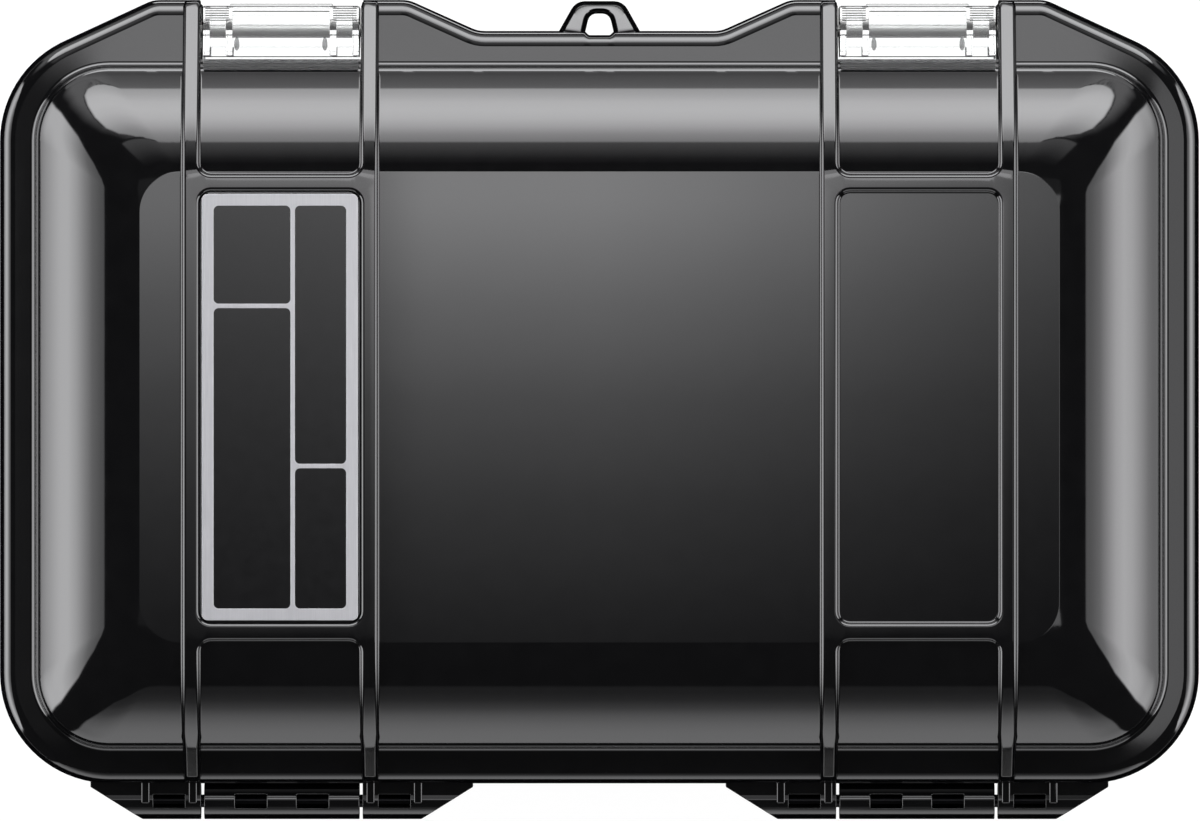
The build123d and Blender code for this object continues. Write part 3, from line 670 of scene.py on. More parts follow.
@dataclass
class Outline:
    """The case seen from above: the stations that every ring of both shells passes through."""

    sizes: CaseSizes = SIZES
    arc_steps: int = 20
    fixed_reach: float = 64.9
    bay_skin: float = 0.12
    notch_places: tuple[float, ...] = (1.3, 1.55, 1.75, 1.95, 2.2, 2.45)
    notch_run: float = 0.9
    plain_places: tuple[float, ...] = (0.0, 4.0, 8.0, 12.0, 15.5, 24.0, 41.0, 58.5, 66.5)
    foot_places: tuple[float, ...] = (-1.1, -0.6, 0.0, 0.5, 1.0)
    round_places: tuple[float, ...] = (0.0, 0.6, 1.2, 1.8, 2.4)
    bay_edge: float = 0.15
    back_pitch: float = 7.4
    side_pitch: float = 4.6
    stations: list[Station] = field(default_factory=list)

    def __post_init__(self) -> None:
        """Places the stations, anticlockwise from the front's left end."""
        s = self.sizes
        fillet_run = s.guard_round * tan(radians(s.guard_outer_slope / 2))
        front = [*self.plain_places, *self.notch_places, s.band_centre]
        front += [self.guard_inner_foot + place for place in self.foot_places]
        for end in (s.guard_inner_end, self.guard_outer_end):
            front += [end - fillet_run + place for place in self.round_places]
        for side in (-1, 1):
            wall = s.band_centre + side * s.bay_half
            front += [wall + side * 2 * self.bay_edge, wall + side * self.bay_edge]
        front.sort()
        mirrored = [-x for x in reversed(front) if x] + front
        back = [k * self.back_pitch for k in range(-10, 11)]
        sides = [k * self.side_pitch for k in range(-8, 9)]
        for (side_x, side_y), run, start in (
            ((0, -1), mirrored, -90),
            ((1, 0), sides, 0),
            ((0, 1), list(reversed(back)), 90),
            ((-1, 0), list(reversed(sides)), 180),
        ):
            side = Vector((side_x, side_y))
            self.stations += [Station(side, along=place) for place in run]
            self.stations += [
                Station(side, angle=start + 90 * step / self.arc_steps, is_arc=True)
                for step in range(self.arc_steps + 1)
            ]

    @property
    def guard_inner_foot(self) -> float:
        """Where a guard's inner slope leaves the rim's front line."""
        s = self.sizes
        return s.guard_inner_end - s.guard_reach / tan(radians(s.guard_inner_slope))

    @property
    def tangent_x(self) -> float:
        """Where a guard's outer slope touches the rim's corner."""
        s = self.sizes
        return s.width / 2 - s.rim_corner * (1 - sin(radians(s.guard_outer_slope)))

    @property
    def guard_outer_end(self) -> float:
        """Where a guard's front meets its outer slope."""
        s = self.sizes
        slope = radians(s.guard_outer_slope)
        tangent_rise = s.guard_reach + s.rim_corner * (1 - cos(slope))
        return self.tangent_x - tangent_rise / tan(slope)

    def guard_y(self, x: float) -> float:
        """Gives the front edge's depth, on a guard or between the guards.

        Args:
            x: The place across the case.

        Returns:
            Its Y.
        """
        s = self.sizes
        across = abs(x)
        slope = radians(s.guard_inner_slope)
        past_foot = across - self.guard_inner_foot + s.guard_round * tan(slope / 2)
        if past_foot < s.guard_round * sin(slope):
            rise = fillet_drop(past_foot, s.guard_inner_slope, s.guard_round)
            return s.rim_front_y - rise
        outer_run = s.guard_round * tan(radians(s.guard_outer_slope / 2))
        inner_run = s.guard_round * tan(radians(s.guard_inner_slope / 2))
        outer = fillet_drop(
            across - self.guard_outer_end + outer_run, s.guard_outer_slope, s.guard_round
        )
        inner = fillet_drop(
            s.guard_inner_end + inner_run - across, s.guard_inner_slope, s.guard_round
        )
        return s.front_y + outer + inner

    def in_bay(self, x: float, margin: float = 0.2) -> bool:
        """Tells whether a place across the front lies in a latch bay."""
        return abs(abs(x) - self.sizes.band_centre) < self.sizes.bay_half + margin

    def plain(self, station: Station, inset: float, corner: float) -> Vector:
        """Gives a station's point on a rounded rectangle.

        Args:
            station: The station.
            inset: How far the rectangle stands inside the rims' outline.
            corner: Its corner radius.

        Returns:
            The point, seen from above.
        """
        s = self.sizes
        half = Vector((s.width / 2 - inset - corner, s.rim_depth / 2 - inset - corner))
        middle = Vector((0, s.rim_centre_y))
        if station.is_arc:
            turn = Vector((-station.side.y, station.side.x))
            centre = Vector(
                ((station.side.x + turn.x) * half.x, (station.side.y + turn.y) * half.y)
            )
            angle = radians(station.angle)
            return middle + centre + corner * Vector((cos(angle), sin(angle)))
        if station.side.x:
            widest = s.rim_depth / 2 - s.rim_corner
            across = station.along * half.y / widest
            return middle + Vector((station.side.x * (half.x + corner), across))
        widest = s.width / 2 - s.rim_corner
        across = abs(station.along)
        if across > self.fixed_reach:
            share = (half.x - self.fixed_reach) / (widest - self.fixed_reach)
            across = self.fixed_reach + (across - self.fixed_reach) * share
        across = across if station.along > 0 else -across
        return middle + Vector((across, station.side.y * (half.y + corner)))

    def front_share(self, station: Station) -> float:
        """Gives how far a station belongs to the front: 1 on it, and less round its corners."""
        if not station.is_arc:
            return 1.0 if station.side.y < 0 else 0.0
        turned_away = min(abs(station.angle + 90), abs(station.angle - 270))
        return max(0.0, 1 - turned_away / 45)

    def point(self, station: Station, ring: Ring) -> Vector:
        """Gives a station's point on a ring.

        Args:
            station: The station.
            ring: The ring.

        Returns:
            The point, in millimetres.
        """
        s = self.sizes
        if ring.front:
            share = self.front_share(station)
            inset = ring.inset + (ring.front[0] - ring.inset) * share
            ring = Ring(ring.z + (ring.front[1] - ring.z) * share, inset)
        corner = s.rim_corner - ring.inset if ring.corner is None else ring.corner
        z = ring.z
        on_front = station.side.y < 0 and not station.is_arc
        if ring.follows_rim:
            flat = self.plain(station, 0, s.rim_corner)
            outward = (flat - self.plain(station, 1, s.rim_corner - 1)).normalized()
            if flat.y < s.rim_centre_y and abs(flat.x) < self.tangent_x:
                step = 0.01
                rise = (self.guard_y(flat.x + step) - self.guard_y(flat.x - step)) / (2 * step)
                flat = Vector((flat.x, self.guard_y(flat.x)))
                outward = Vector((rise, -1)).normalized()
            if on_front and self.in_bay(flat.x):
                flat = Vector((flat.x, s.bay_wall_y + self.bay_skin))
            else:
                flat -= outward * ring.inset
            if ring.notched and on_front:
                share = smooth_step((self.notch_places[-1] - abs(flat.x)) / self.notch_run)
                flat.y += share * s.eye_notch * max(0.0, 1 - ring.inset / (2 * s.eye_notch))
        else:
            flat = self.plain(station, ring.inset, corner)
        if on_front and ring.inset < s.bay_set_back + self.bay_skin and self.in_bay(flat.x):
            flat = Vector((flat.x, s.bay_wall_y + self.bay_skin))
        if ring.groove_floor and on_front and self.in_bay(flat.x, s.rib_width + s.core_inset):
            z = s.parting_z if ring.z > s.parting_z else s.base_rim_bottom
        return Vector((flat.x, flat.y, z))

    def shell(self, rings: Sequence[Ring]) -> Mesh:
        """Builds a closed shell from its rings.

        Args:
            rings: The rings, from one middle round the edge to the other middle.

        Returns:
            The mesh.
        """
        points = [self.point(station, ring) for ring in rings for station in self.stations]
        return mesh_of(points, tube_faces(len(rings), len(self.stations)))


def plan_rings(profile: Sequence[Point], **options: object) -> list[Ring]:
    """Turns a profile of insets and heights into rings.

    Args:
        profile: Its points, as inset and height.
        **options: What every ring follows.

    Returns:
        The rings.
    """
    return [Ring(z, inset, **options) for inset, z in profile]


def rim_rings(sizes: CaseSizes, level: float) -> list[Ring]:
    """Gives the rings of a rim's edge, from its flat face to the parting line.

    Args:
        sizes: The case's sizes.
        level: The height of the flat face.

    Returns:
        The rings.
    """
    edge = [
        (sizes.rim_edge + 0.02, level, 0),
        (0, level, sizes.rim_edge),
        (0, sizes.parting_z, sizes.parting_edge),
        (sizes.parting_edge + 0.01, sizes.parting_z, 0),
    ]
    return plan_rings(rounded(edge), follows_rim=True, notched=True)


@dataclass
class LidShell:
    """The lid's moulded shell: rim, shoulder, dome and hollow, in millimetres."""

    outline: Outline
    foot_inset: float = 5.6
    foot_round: float = 0.9
    crown_sides: tuple[Point, ...] = ((0.0, 0.0), (-0.03, -0.03), (-0.06, -0.1), (-0.08, -0.25))
    crown_front: tuple[Point, ...] = ((0.0, 0.0), (-0.1, -0.05), (-0.33, -0.17), (-0.4, -0.3))
    shoulder_height: float = 5.3
    dome_band: float = 15.85
    foot_tilt: float = 45.0
    top_tilt: float = 4.0
    flat_corner: float = 6.3
    levels: int = 16
    inner_levels: int = 8
    crease: float = 0.12
    foot_crease: float = 1.2
    rebate_inset: float = 6.3
    rebate_depth: float = 1.25
    core_depth: float = 4.4
    catch_height: float = 10.45
    catch_thickness: float = 0.6
    catch_groove_depth: float = 1.3

    @property
    def radius(self) -> float:
        """The dome's radius."""
        return self.dome_band / (sin(radians(self.foot_tilt)) - sin(radians(self.top_tilt)))

    @property
    def centre_inset(self) -> float:
        """How far inside the rims' outline the dome's centre lies."""
        return self.outline.sizes.wall_inset + self.radius * sin(radians(self.foot_tilt))

    @property
    def foot_z(self) -> float:
        """The height of the dome's foot."""
        return self.outline.sizes.lid_rim_top + self.shoulder_height

    @property
    def centre_z(self) -> float:
        """The height of the dome's centre."""
        return self.foot_z - self.radius * cos(radians(self.foot_tilt))

    @property
    def flat_z(self) -> float:
        """The height of the flat top."""
        return self.centre_z + self.radius * cos(radians(self.top_tilt))

    def dome_ring(self, tilt: float, thickness: float = 0.0) -> Ring:
        """Gives the ring where the dome has a tilt.

        Args:
            tilt: The tilt, in degrees.
            thickness: How far under the outer surface the ring lies.

        Returns:
            The ring.
        """
        slope = radians(tilt)
        s = self.outline.sizes
        band = self.radius * (sin(radians(self.foot_tilt)) - sin(slope))
        foot_corner = s.rim_corner - s.wall_inset
        corner = foot_corner + (self.flat_corner - foot_corner) * band / self.dome_band
        return Ring(
            self.centre_z + (self.radius - thickness) * cos(slope),
            s.wall_inset + band + thickness * sin(slope),
            corner - thickness * sin(slope),
        )

    def build(self) -> Mesh:
        """Builds the shell.

        Returns:
            The mesh.
        """
        s = self.outline.sizes
        crease_tilt = self.top_tilt + degrees(self.crease / self.radius)
        tilts = [self.top_tilt, crease_tilt]
        tilts += [
            self.top_tilt + (self.foot_tilt - self.top_tilt) * level / self.levels
            for level in range(1, self.levels)
        ]
        rings = [self.dome_ring(tilt) for tilt in tilts]
        edge_tilt = radians(self.foot_tilt - self.foot_crease)
        above = (
            s.wall_inset + self.radius * (sin(radians(self.foot_tilt)) - sin(edge_tilt)),
            self.centre_z + self.radius * cos(edge_tilt),
        )
        crown = [
            Ring(
                self.foot_z + side[1],
                s.wall_inset + side[0],
                front=(s.wall_inset + front[0], self.foot_z + front[1]),
            )
            for side, front in zip(self.crown_sides, self.crown_front)
        ]
        shoulder = [
            (s.wall_inset + self.crown_front[-1][0], self.foot_z + self.crown_front[-1][1], 0),
            (self.foot_inset, s.lid_rim_top, self.foot_round),
            (s.rim_edge + 0.6, s.lid_rim_top, 0),
        ]
        rings += [*plan_rings([above]), *crown, *plan_rings(rounded(shoulder)[1:-1])]
        rings += rim_rings(s, s.lid_rim_top)
        groove_end = s.core_inset + s.core_width
        rings += [
            Ring(s.parting_z, s.core_inset),
            Ring(s.parting_z + self.core_depth, s.core_inset, groove_floor=True),
            Ring(s.parting_z + self.core_depth, groove_end, groove_floor=True),
            Ring(s.parting_z, groove_end),
        ]
        inner = s.wall_inset + s.wall
        inner_radius = self.radius - s.wall
        inner_tilt = degrees(asin((self.centre_inset - inner) / inner_radius))
        rings += [
            Ring(s.parting_z, self.rebate_inset),
            Ring(s.parting_z + self.rebate_depth, self.rebate_inset),
            Ring(s.parting_z + self.rebate_depth, inner),
        ]
        rings += [
            self.dome_ring(
                inner_tilt + (self.top_tilt - inner_tilt) * level / self.inner_levels, s.wall
            )
            for level in range(self.inner_levels + 1)
        ]
        return weighted(self.outline.shell(rings))


@dataclass
class BaseShell:
    """The base's moulded shell: rim, drafted wall, rounded turn and flat bottom, in millimetres."""

    outline: Outline
    draft: float = 2.0
    turn_radius: float = 12.7
    bottom_corner: float = 6.0
    levels: int = 16
    inner_levels: int = 10
    wall_run: float = 6.0
    core_depth: float = 3.2
    seal_inset: float = 5.7
    seal_flange: float = 1.8
    foot_round: float = 0.45

    @property
    def turn_z(self) -> float:
        """The height of the turn's centre."""
        return self.outline.sizes.rib_height + self.turn_radius

    def wall_inset(self, z: float) -> float:
        """Gives how far the wall stands inside the rims' outline at a height."""
        s = self.outline.sizes
        return s.wall_inset + (s.base_rim_bottom - z) * tan(radians(self.draft))

    def turn_ring(self, share: float, thickness: float = 0.0) -> Ring:
        """Gives a ring of the turn from the flat bottom to the wall.

        Args:
            share: From 0 at the flat bottom to 1 at the wall.
            thickness: How far inside the outer surface the ring lies.

        Returns:
            The ring.
        """
        s = self.outline.sizes
        start = radians(90 - self.draft)
        slope = start * share
        foot_inset = self.wall_inset(self.turn_z - self.turn_radius * cos(start))
        band = self.turn_radius * (sin(start) - sin(slope))
        foot_corner = s.rim_corner - foot_inset
        corner = foot_corner + (self.bottom_corner - foot_corner) * band / self.turn_radius
        return Ring(
            self.turn_z - (self.turn_radius - thickness) * cos(slope),
            foot_inset + band + thickness * sin(slope),
            corner - thickness * sin(slope),
        )

    def inner_turn(self, thickness: float) -> list[Ring]:
        """Gives the rings of the turn at a depth inside it, from the bottom to the wall."""
        count = self.inner_levels
        return [self.turn_ring(level / count, thickness) for level in range(count + 1)]

    def build(self) -> Mesh:
        """Builds the shell.

        Returns:
            The mesh.
        """
        s = self.outline.sizes
        rings = [self.turn_ring(level / self.levels) for level in range(self.levels + 1)]
        low = s.base_rim_bottom - self.wall_run
        wall_foot = [
            (self.wall_inset(low), low, 0),
            (s.wall_inset, s.base_rim_bottom, self.foot_round),
            (s.core_inset + s.core_width, s.base_rim_bottom, 0),
        ]
        rings += plan_rings(rounded(wall_foot)[:-1])
        groove_end = s.core_inset + s.core_width
        rings += [
            Ring(s.base_rim_bottom, groove_end),
            Ring(s.base_rim_bottom + self.core_depth, groove_end, groove_floor=True),
            Ring(s.base_rim_bottom + self.core_depth, s.core_inset, groove_floor=True),
            Ring(s.base_rim_bottom, s.core_inset),
        ]
        rings += rim_rings(s, s.base_rim_bottom)
        seat = s.parting_z - self.seal_flange
        rings += [
            Ring(s.parting_z, self.seal_inset),
            Ring(seat, self.seal_inset),
            Ring(seat, self.wall_inset(seat) + s.wall),
        ]
        rings += reversed(self.inner_turn(s.wall))
        return weighted(self.outline.shell(rings))


@dataclass
class Liner:
    """The base's rubber liner, whose upper edge is the seal, in millimetres."""

    base: BaseShell
    gap: float = 0.15
    wall: float = 2.0
    bead_inset: float = 6.75
    bead_width: float = 1.6
    bead_top: float = 58.7
    bead_edge: float = 0.7
    bead_foot: float = 0.2
    ledge: float = 1.0
    brink_round: float = 0.5

    def build(self) -> Mesh:
        """Builds the liner.

        Returns:
            The mesh.
        """
        base = self.base
        s = base.outline.sizes
        outside = s.wall + self.gap
        inside = outside + self.wall
        seat = s.parting_z - base.seal_flange + self.gap
        rings = [*base.inner_turn(outside), Ring(seat, base.wall_inset(seat) + outside)]
        lip = base.seal_inset + self.gap
        rings += [Ring(seat, lip), Ring(s.parting_z, lip)]
        bead_end = self.bead_inset + self.bead_width
        bead = [
            (lip, s.parting_z, 0),
            (self.bead_inset, s.parting_z, self.bead_foot),
            (self.bead_inset, self.bead_top, self.bead_edge),
            (bead_end, self.bead_top, self.bead_edge),
            (bead_end, s.parting_z, self.bead_foot),
            (bead_end + self.ledge, s.parting_z, 0),
        ]
        rings += plan_rings(rounded(bead)[1:-1])
        low = s.parting_z - base.wall_run
        brink = [
            (bead_end + self.ledge, s.parting_z, 0),
            (base.wall_inset(s.parting_z) + inside, s.parting_z, self.brink_round),
            (base.wall_inset(low) + inside, low, 0),
        ]
        rings += plan_rings(rounded(brink))
        rings += reversed(base.inner_turn(inside))
        return weighted(base.outline.shell(rings))


@dataclass(frozen=True)
class PathPlace:
    """A place along the top of a rib, seen from the side, with the skirt that its flank runs to."""

    y: float
    z: float
    out_y: float
    out_z: float
    skirt_y: float
    skirt_z: float
    spread: float


@dataclass
class RibFrame:
    """One band's two ribs and two crossbars as one moulded relief, in millimetres.

    Its outline is drawn flat, across X and along the ribs, and laid on the ribs' path.
    """

    sizes: CaseSizes
    centre_x: float
    path: Callable[[float], PathPlace]
    end: float
    bars: tuple[float, float]
    top_half: float = 0.68
    edge_width: float = 0.62
    edge_drop: float = 0.5
    foot_width: float = 0.36
    foot_drop: float = 0.3
    corner: float = 1.5
    spacing: float = 0.9
    bar_spacing: float = 2.0
    corner_steps: int = 6

    def steps(self) -> list[tuple[float, float]]:
        """Gives the flank's section: how far out from the flat top, and how far down."""
        convex = [
            (self.edge_width * sin(angle), self.edge_drop * (1 - cos(angle)))
            for angle in (radians(15 * k) for k in range(6))
        ]
        concave = [
            (
                self.edge_width + self.foot_width * (1 - cos(angle)),
                self.edge_drop + self.foot_drop * sin(angle),
            )
            for angle in (radians(22.5 * k) for k in range(5))
        ]
        return convex + concave

    def runs(self, low: float, high: float) -> list[float]:
        """Divides a stretch along the ribs evenly, without its first end."""
        count = max(1, round((high - low) / self.spacing))
        return [low + (high - low) * (k + 1) / count for k in range(count)]

    def loops(self, out: float) -> list[list[Point]]:
        """Draws the flat outline at a distance outside the top's edge.

        Args:
            out: The distance.

        Returns:
            The outer loop and the window's loop, as points across and along.
        """
        half = self.sizes.rib_pitch / 2
        outside = half + self.top_half + out
        inside = half - self.top_half - out
        radius = self.corner + self.edge_width + self.foot_width - out
        front_bar, back_bar = self.bars
        reach = self.top_half + out
        start, end = 0.0, self.end

        def side_run(x: float, low: float, high: float) -> list[Point]:
            """Draws a rib's edge away from the front, without its first point."""
            return [(x, s) for s in self.runs(low, high)]

        def return_run(x: float, low: float, high: float) -> list[Point]:
            """Draws a rib's edge back towards the front, without its first point."""
            return [(x, s) for s in reversed([low, *self.runs(low, high)][:-1])]

        def bar_run(s: float, x_from: float, x_to: float) -> list[Point]:
            """Draws a crossbar's edge, without its first point."""
            count = max(1, round(abs(x_to - x_from) / self.bar_spacing))
            return [(x_from + (x_to - x_from) * (k + 1) / count, s) for k in range(count)]

        def corner_run(x: float, s: float, first: float, sweep: float) -> list[Point]:
            """Draws the round between a rib and a crossbar, without its first point."""
            steps = range(1, self.corner_steps + 1)
            angles = [radians(first + sweep * k / self.corner_steps) for k in steps]
            return [(x + radius * cos(angle), s + radius * sin(angle)) for angle in angles]

        low = self.corner + self.edge_width + self.foot_width + self.top_half
        turn = inside - radius
        outer = [(outside, start)]
        outer += side_run(outside, start, end)
        outer += [(inside, end)]
        outer += return_run(inside, back_bar + low, end)
        outer += corner_run(turn, back_bar + low, 0, -90)
        outer += bar_run(back_bar + reach, turn, -turn)
        outer += corner_run(-turn, back_bar + low, -90, -90)
        outer += side_run(-inside, back_bar + low, end)
        outer += [(-outside, end)]
        outer += return_run(-outside, start, end)
        outer += [(-inside, start)]
        outer += side_run(-inside, start, front_bar - low)
        outer += corner_run(-turn, front_bar - low, 180, -90)
        outer += bar_run(front_bar - reach, -turn, turn)
        outer += corner_run(turn, front_bar - low, 90, -90)
        outer += return_run(inside, start, front_bar - low)
        window = [(inside, back_bar - low)]
        window += corner_run(turn, back_bar - low, 0, 90)
        window += bar_run(back_bar - reach, turn, -turn)
        window += corner_run(-turn, back_bar - low, 90, 90)
        window += return_run(-inside, front_bar + low, back_bar - low)
        window += corner_run(-turn, front_bar + low, 180, 90)
        window += bar_run(front_bar + reach, -turn, turn)
        window += corner_run(turn, front_bar + low, 270, 90)
        window += side_run(inside, front_bar + low, back_bar - low)[:-1]
        return [outer, window]

    def placed(self, flat: Point, flat_top: Point, down: float) -> tuple[float, float, float]:
        """Lays a point of the flat outline on the ribs' path.

        Args:
            flat: The point across and along.
            flat_top: The same point on the top's edge.
            down: How far under the top it lies.

        Returns:
            The point in the case.
        """
        place = self.path(flat[1])
        spread = place.spread if down > self.edge_drop else 1.0
        beyond = flat[0] - flat_top[0]
        width = hypot(beyond, flat[1] - flat_top[1])
        if width > self.edge_width and spread < 1:
            beyond *= (self.edge_width + (width - self.edge_width) * spread) / width
        return (
            self.centre_x + flat_top[0] + beyond,
            place.y - place.out_y * down,
            place.z - place.out_z * down,
        )

    def build(self) -> Mesh:
        """Builds the relief as one closed mesh.

        Returns:
            The mesh.
        """
        top_loops = self.loops(0)
        tops = [point for loop in top_loops for point in loop]
        lengths = [len(loop) for loop in top_loops]
        count = len(tops)
        points = []
        steps = self.steps()
        for out, down in steps:
            flats = [point for loop in self.loops(out) for point in loop]
            points += [self.placed(flat, top, down) for flat, top in zip(flats, tops)]
        last_flats = [point for loop in self.loops(steps[-1][0]) for point in loop]
        for flat, top in zip(last_flats, tops):
            place = self.path(flat[1])
            x = self.placed(flat, top, steps[-1][1])[0]
            points.append((x, place.skirt_y, place.skirt_z))
        faces: list[Sequence[int]] = []
        for ring in range(len(steps)):
            first = ring * count
            for length in lengths:
                for k in range(length):
                    here, there = first + k, first + (k + 1) % length
                    faces.append((here, there, there + count, here + count))
                first += length
        edges = []
        first = 0
        for length in lengths:
            edges += [(first + k, first + (k + 1) % length) for k in range(length)]
            first += length
        made = delaunay_2d_cdt([Vector(point) for point in tops], edges, [], 1, 1e-6)
        vertices, triangles, sources = made[0], made[2], made[3]
        numbers = [source[0] for source in sources]
        last = len(steps) * count
        for triangle in triangles:
            middle = sum((vertices[k] for k in triangle), Vector((0, 0))) / 3
            if self.is_open(middle.x, middle.y):
                continue
            corners = [numbers[k] for k in triangle]
            faces.append(corners)
            faces.append([last + k for k in corners])
        return weighted(mesh_of(points, faces), 40)

    def is_open(self, x: float, along: float) -> bool:
        """Tells whether a flat point lies between the ribs and off both crossbars."""
        inside = self.sizes.rib_pitch / 2 - self.top_half
        if abs(x) > inside:
            return False
        radius = self.corner + self.edge_width + self.foot_width
        for bar in self.bars:
            gap = abs(along - bar) - self.top_half
            if gap < 0:
                return False
            turn = inside - radius
            if abs(x) > turn and gap < radius:
                if hypot(abs(x) - turn, radius - gap) > radius:
                    return False
        return True


@dataclass
class SidePath:
    """A rib's top line seen from the side, in short straight runs, measured along its length."""

    runs: list[tuple[Vector, Vector]] = field(default_factory=list)
    lengths: list[float] = field(default_factory=list)

    @classmethod
    def through(cls, outline: Sequence[Point]) -> "SidePath":
        """Makes a path of an outline's straight runs, without those that have no length."""
        path = cls()
        corners = [Vector(point) for point in outline]
        for start, end in zip(corners, corners[1:]):
            if (end - start).length > 1e-6:
                path.runs.append((start, end))
                path.lengths.append((end - start).length)
        return path

    def at(self, along: float) -> tuple[Vector, Vector]:
        """Gives a place and its outward direction.

        Args:
            along: The distance from the path's start.

        Returns:
            The point and the unit direction away from the case, as Y and Z.
        """
        passed = 0.0
        last = len(self.runs) - 1
        for number, ((start, end), length) in enumerate(zip(self.runs, self.lengths)):
            if along <= passed + length or number == last:
                share = (along - passed) / length
                direction = (end - start).normalized()
                ahead = self.direction(min(number + 1, last))
                behind = self.direction(max(number - 1, 0))
                near = direction + (ahead if share > 0.5 else behind)
                blend = abs(share - 0.5) * 2 if length < 2 else 0.0
                near = near.normalized()
                direction = (direction * (1 - blend) + near * blend).normalized()
                return start + (end - start) * share, Vector((-direction.y, direction.x))
            passed += length
        raise ValueError(along)

    def direction(self, number: int) -> Vector:
        """Gives the direction of one run."""
        start, end = self.runs[number]
        return (end - start).normalized()

    @property
    def length(self) -> float:
        """The whole length."""
        return sum(self.lengths)

    def where(self, y: float, low: float, high: float) -> float:
        """Finds the distance along at which the path reaches a depth.

        Args:
            y: The depth.
            low: A distance before it.
            high: A distance after it.

        Returns:
            The distance along.
        """
        rising = self.at(high)[0].x > self.at(low)[0].x
        for _ in range(50):
            middle = (low + high) / 2
            if (self.at(middle)[0].x < y) == rising:
                low = middle
            else:
                high = middle
        return (low + high) / 2

    def crossbars(self, sizes: CaseSizes, margin: float) -> tuple[float, float]:
        """Finds where the two crossbars cross the path.

        Args:
            sizes: The case's sizes.
            margin: A distance from either end of the path that is still before its crossbar.

        Returns:
            The distances along of the front one and the back one.
        """
        reach, half = sizes.crossbar_spacing / 2, self.length / 2
        front = self.where(sizes.rim_centre_y - reach, margin, half)
        return front, self.where(sizes.rim_centre_y + reach, half, self.length - margin)


def arc_points(
    centre: Point, radius: float, first: float, last: float, step: float = 2.0
) -> list[Point]:
    """Gives points of an arc.

    Args:
        centre: Its centre.
        radius: Its radius.
        first: The tilt where it starts, in degrees from straight up towards the back.
        last: The tilt where it ends.
        step: About how many degrees lie between two points.

    Returns:
        The points, both ends among them.
    """
    count = max(2, round(abs(last - first) / step))
    return [
        (
            centre[0] + radius * sin(radians(first + (last - first) * k / count)),
            centre[1] + radius * cos(radians(first + (last - first) * k / count)),
        )
        for k in range(count + 1)
    ]


def foot_spread(beyond: float) -> float:
    """Gives the share of a rib foot's width that is left at a distance past the wall."""
    return max(0.3, 1 - beyond / 1.5)


@dataclass
class LidRibs:
    """The lid's ribs and crossbars, with the ears that reach over the latches."""

    lid: LidShell
    ear_rise: float = 2.4
    ear_nose: float = 1.0
    ear_root: float = 61.9
    foot_root: float = 62.6
    foot_margin: float = 0.6
    bury: float = 1.4
    path_margin: float = 5.0

    def side_path(self) -> SidePath:
        """Draws the ribs' top line, from the ear's foot to the gusset behind."""
        lid = self.lid
        s = lid.outline.sizes
        radius = lid.radius + s.rib_height
        top_z = lid.flat_z + s.rib_height
        top_tilt = degrees(acos((top_z - lid.centre_z) / radius))
        front = (s.rim_front_y + lid.centre_inset, lid.centre_z)
        back = (s.rim_back_y - lid.centre_inset, lid.centre_z)
        tip = (s.front_y + s.ear_set_back, s.lid_rim_top + self.ear_rise)
        run, rise = front[0] - tip[0], tip[1] - front[1]
        ear_tilt = degrees(atan2(run, rise) - acos(radius / hypot(run, rise)))
        front_arc = arc_points(front, radius, -ear_tilt, -top_tilt)
        back_arc = arc_points(back, radius, top_tilt, lid.foot_tilt)
        back_y = s.rim_back_y - s.ear_set_back
        drop = (back_y - back_arc[-1][0]) * tan(radians(lid.foot_tilt))
        nose = rounded([(tip[0], self.ear_root, 0), (*tip, self.ear_nose), (*front_arc[0], 0)])
        heel = rounded(
            [(*back_arc[-1], 0), (back_y, back_arc[-1][1] - drop, 0.4), (back_y, self.foot_root, 0)]
        )
        return SidePath.through([*nose, *front_arc, *back_arc, *heel])

    def build(self, centre_x: float) -> Mesh:
        """Builds one band's relief.

        Args:
            centre_x: The band's centre.

        Returns:
            The mesh.
        """
        lid = self.lid
        s = lid.outline.sizes
        path = self.side_path()
        foot_front = s.rim_front_y + s.wall_inset + self.foot_margin
        foot_back = s.rim_back_y - s.wall_inset - self.foot_margin

        def place(along: float) -> PathPlace:
            """Gives a place on the top line, with its skirt sunk in the lid."""
            at, out = path.at(along)
            beyond = max(foot_front - at.x, at.x - foot_back, 0.0)
            spread = foot_spread(beyond)
            depth = s.rib_height + self.bury
            skirt = Vector((at.x - out.x * depth, at.y - out.y * depth))
            if beyond > 0:
                root = self.ear_root if at.x < 0 else self.foot_root
                inner_y = at.x - out.x * s.rib_height
                blend = min(1.0, beyond)
                level = min(root, at.y - out.y * s.rib_height)
                skirt = Vector((inner_y, skirt.y * (1 - blend) + level * blend))
            return PathPlace(at.x, at.y, out.x, out.y, skirt.x, skirt.y, spread)

        bars = path.crossbars(s, self.path_margin)
        return RibFrame(s, centre_x, place, path.length, bars).build()


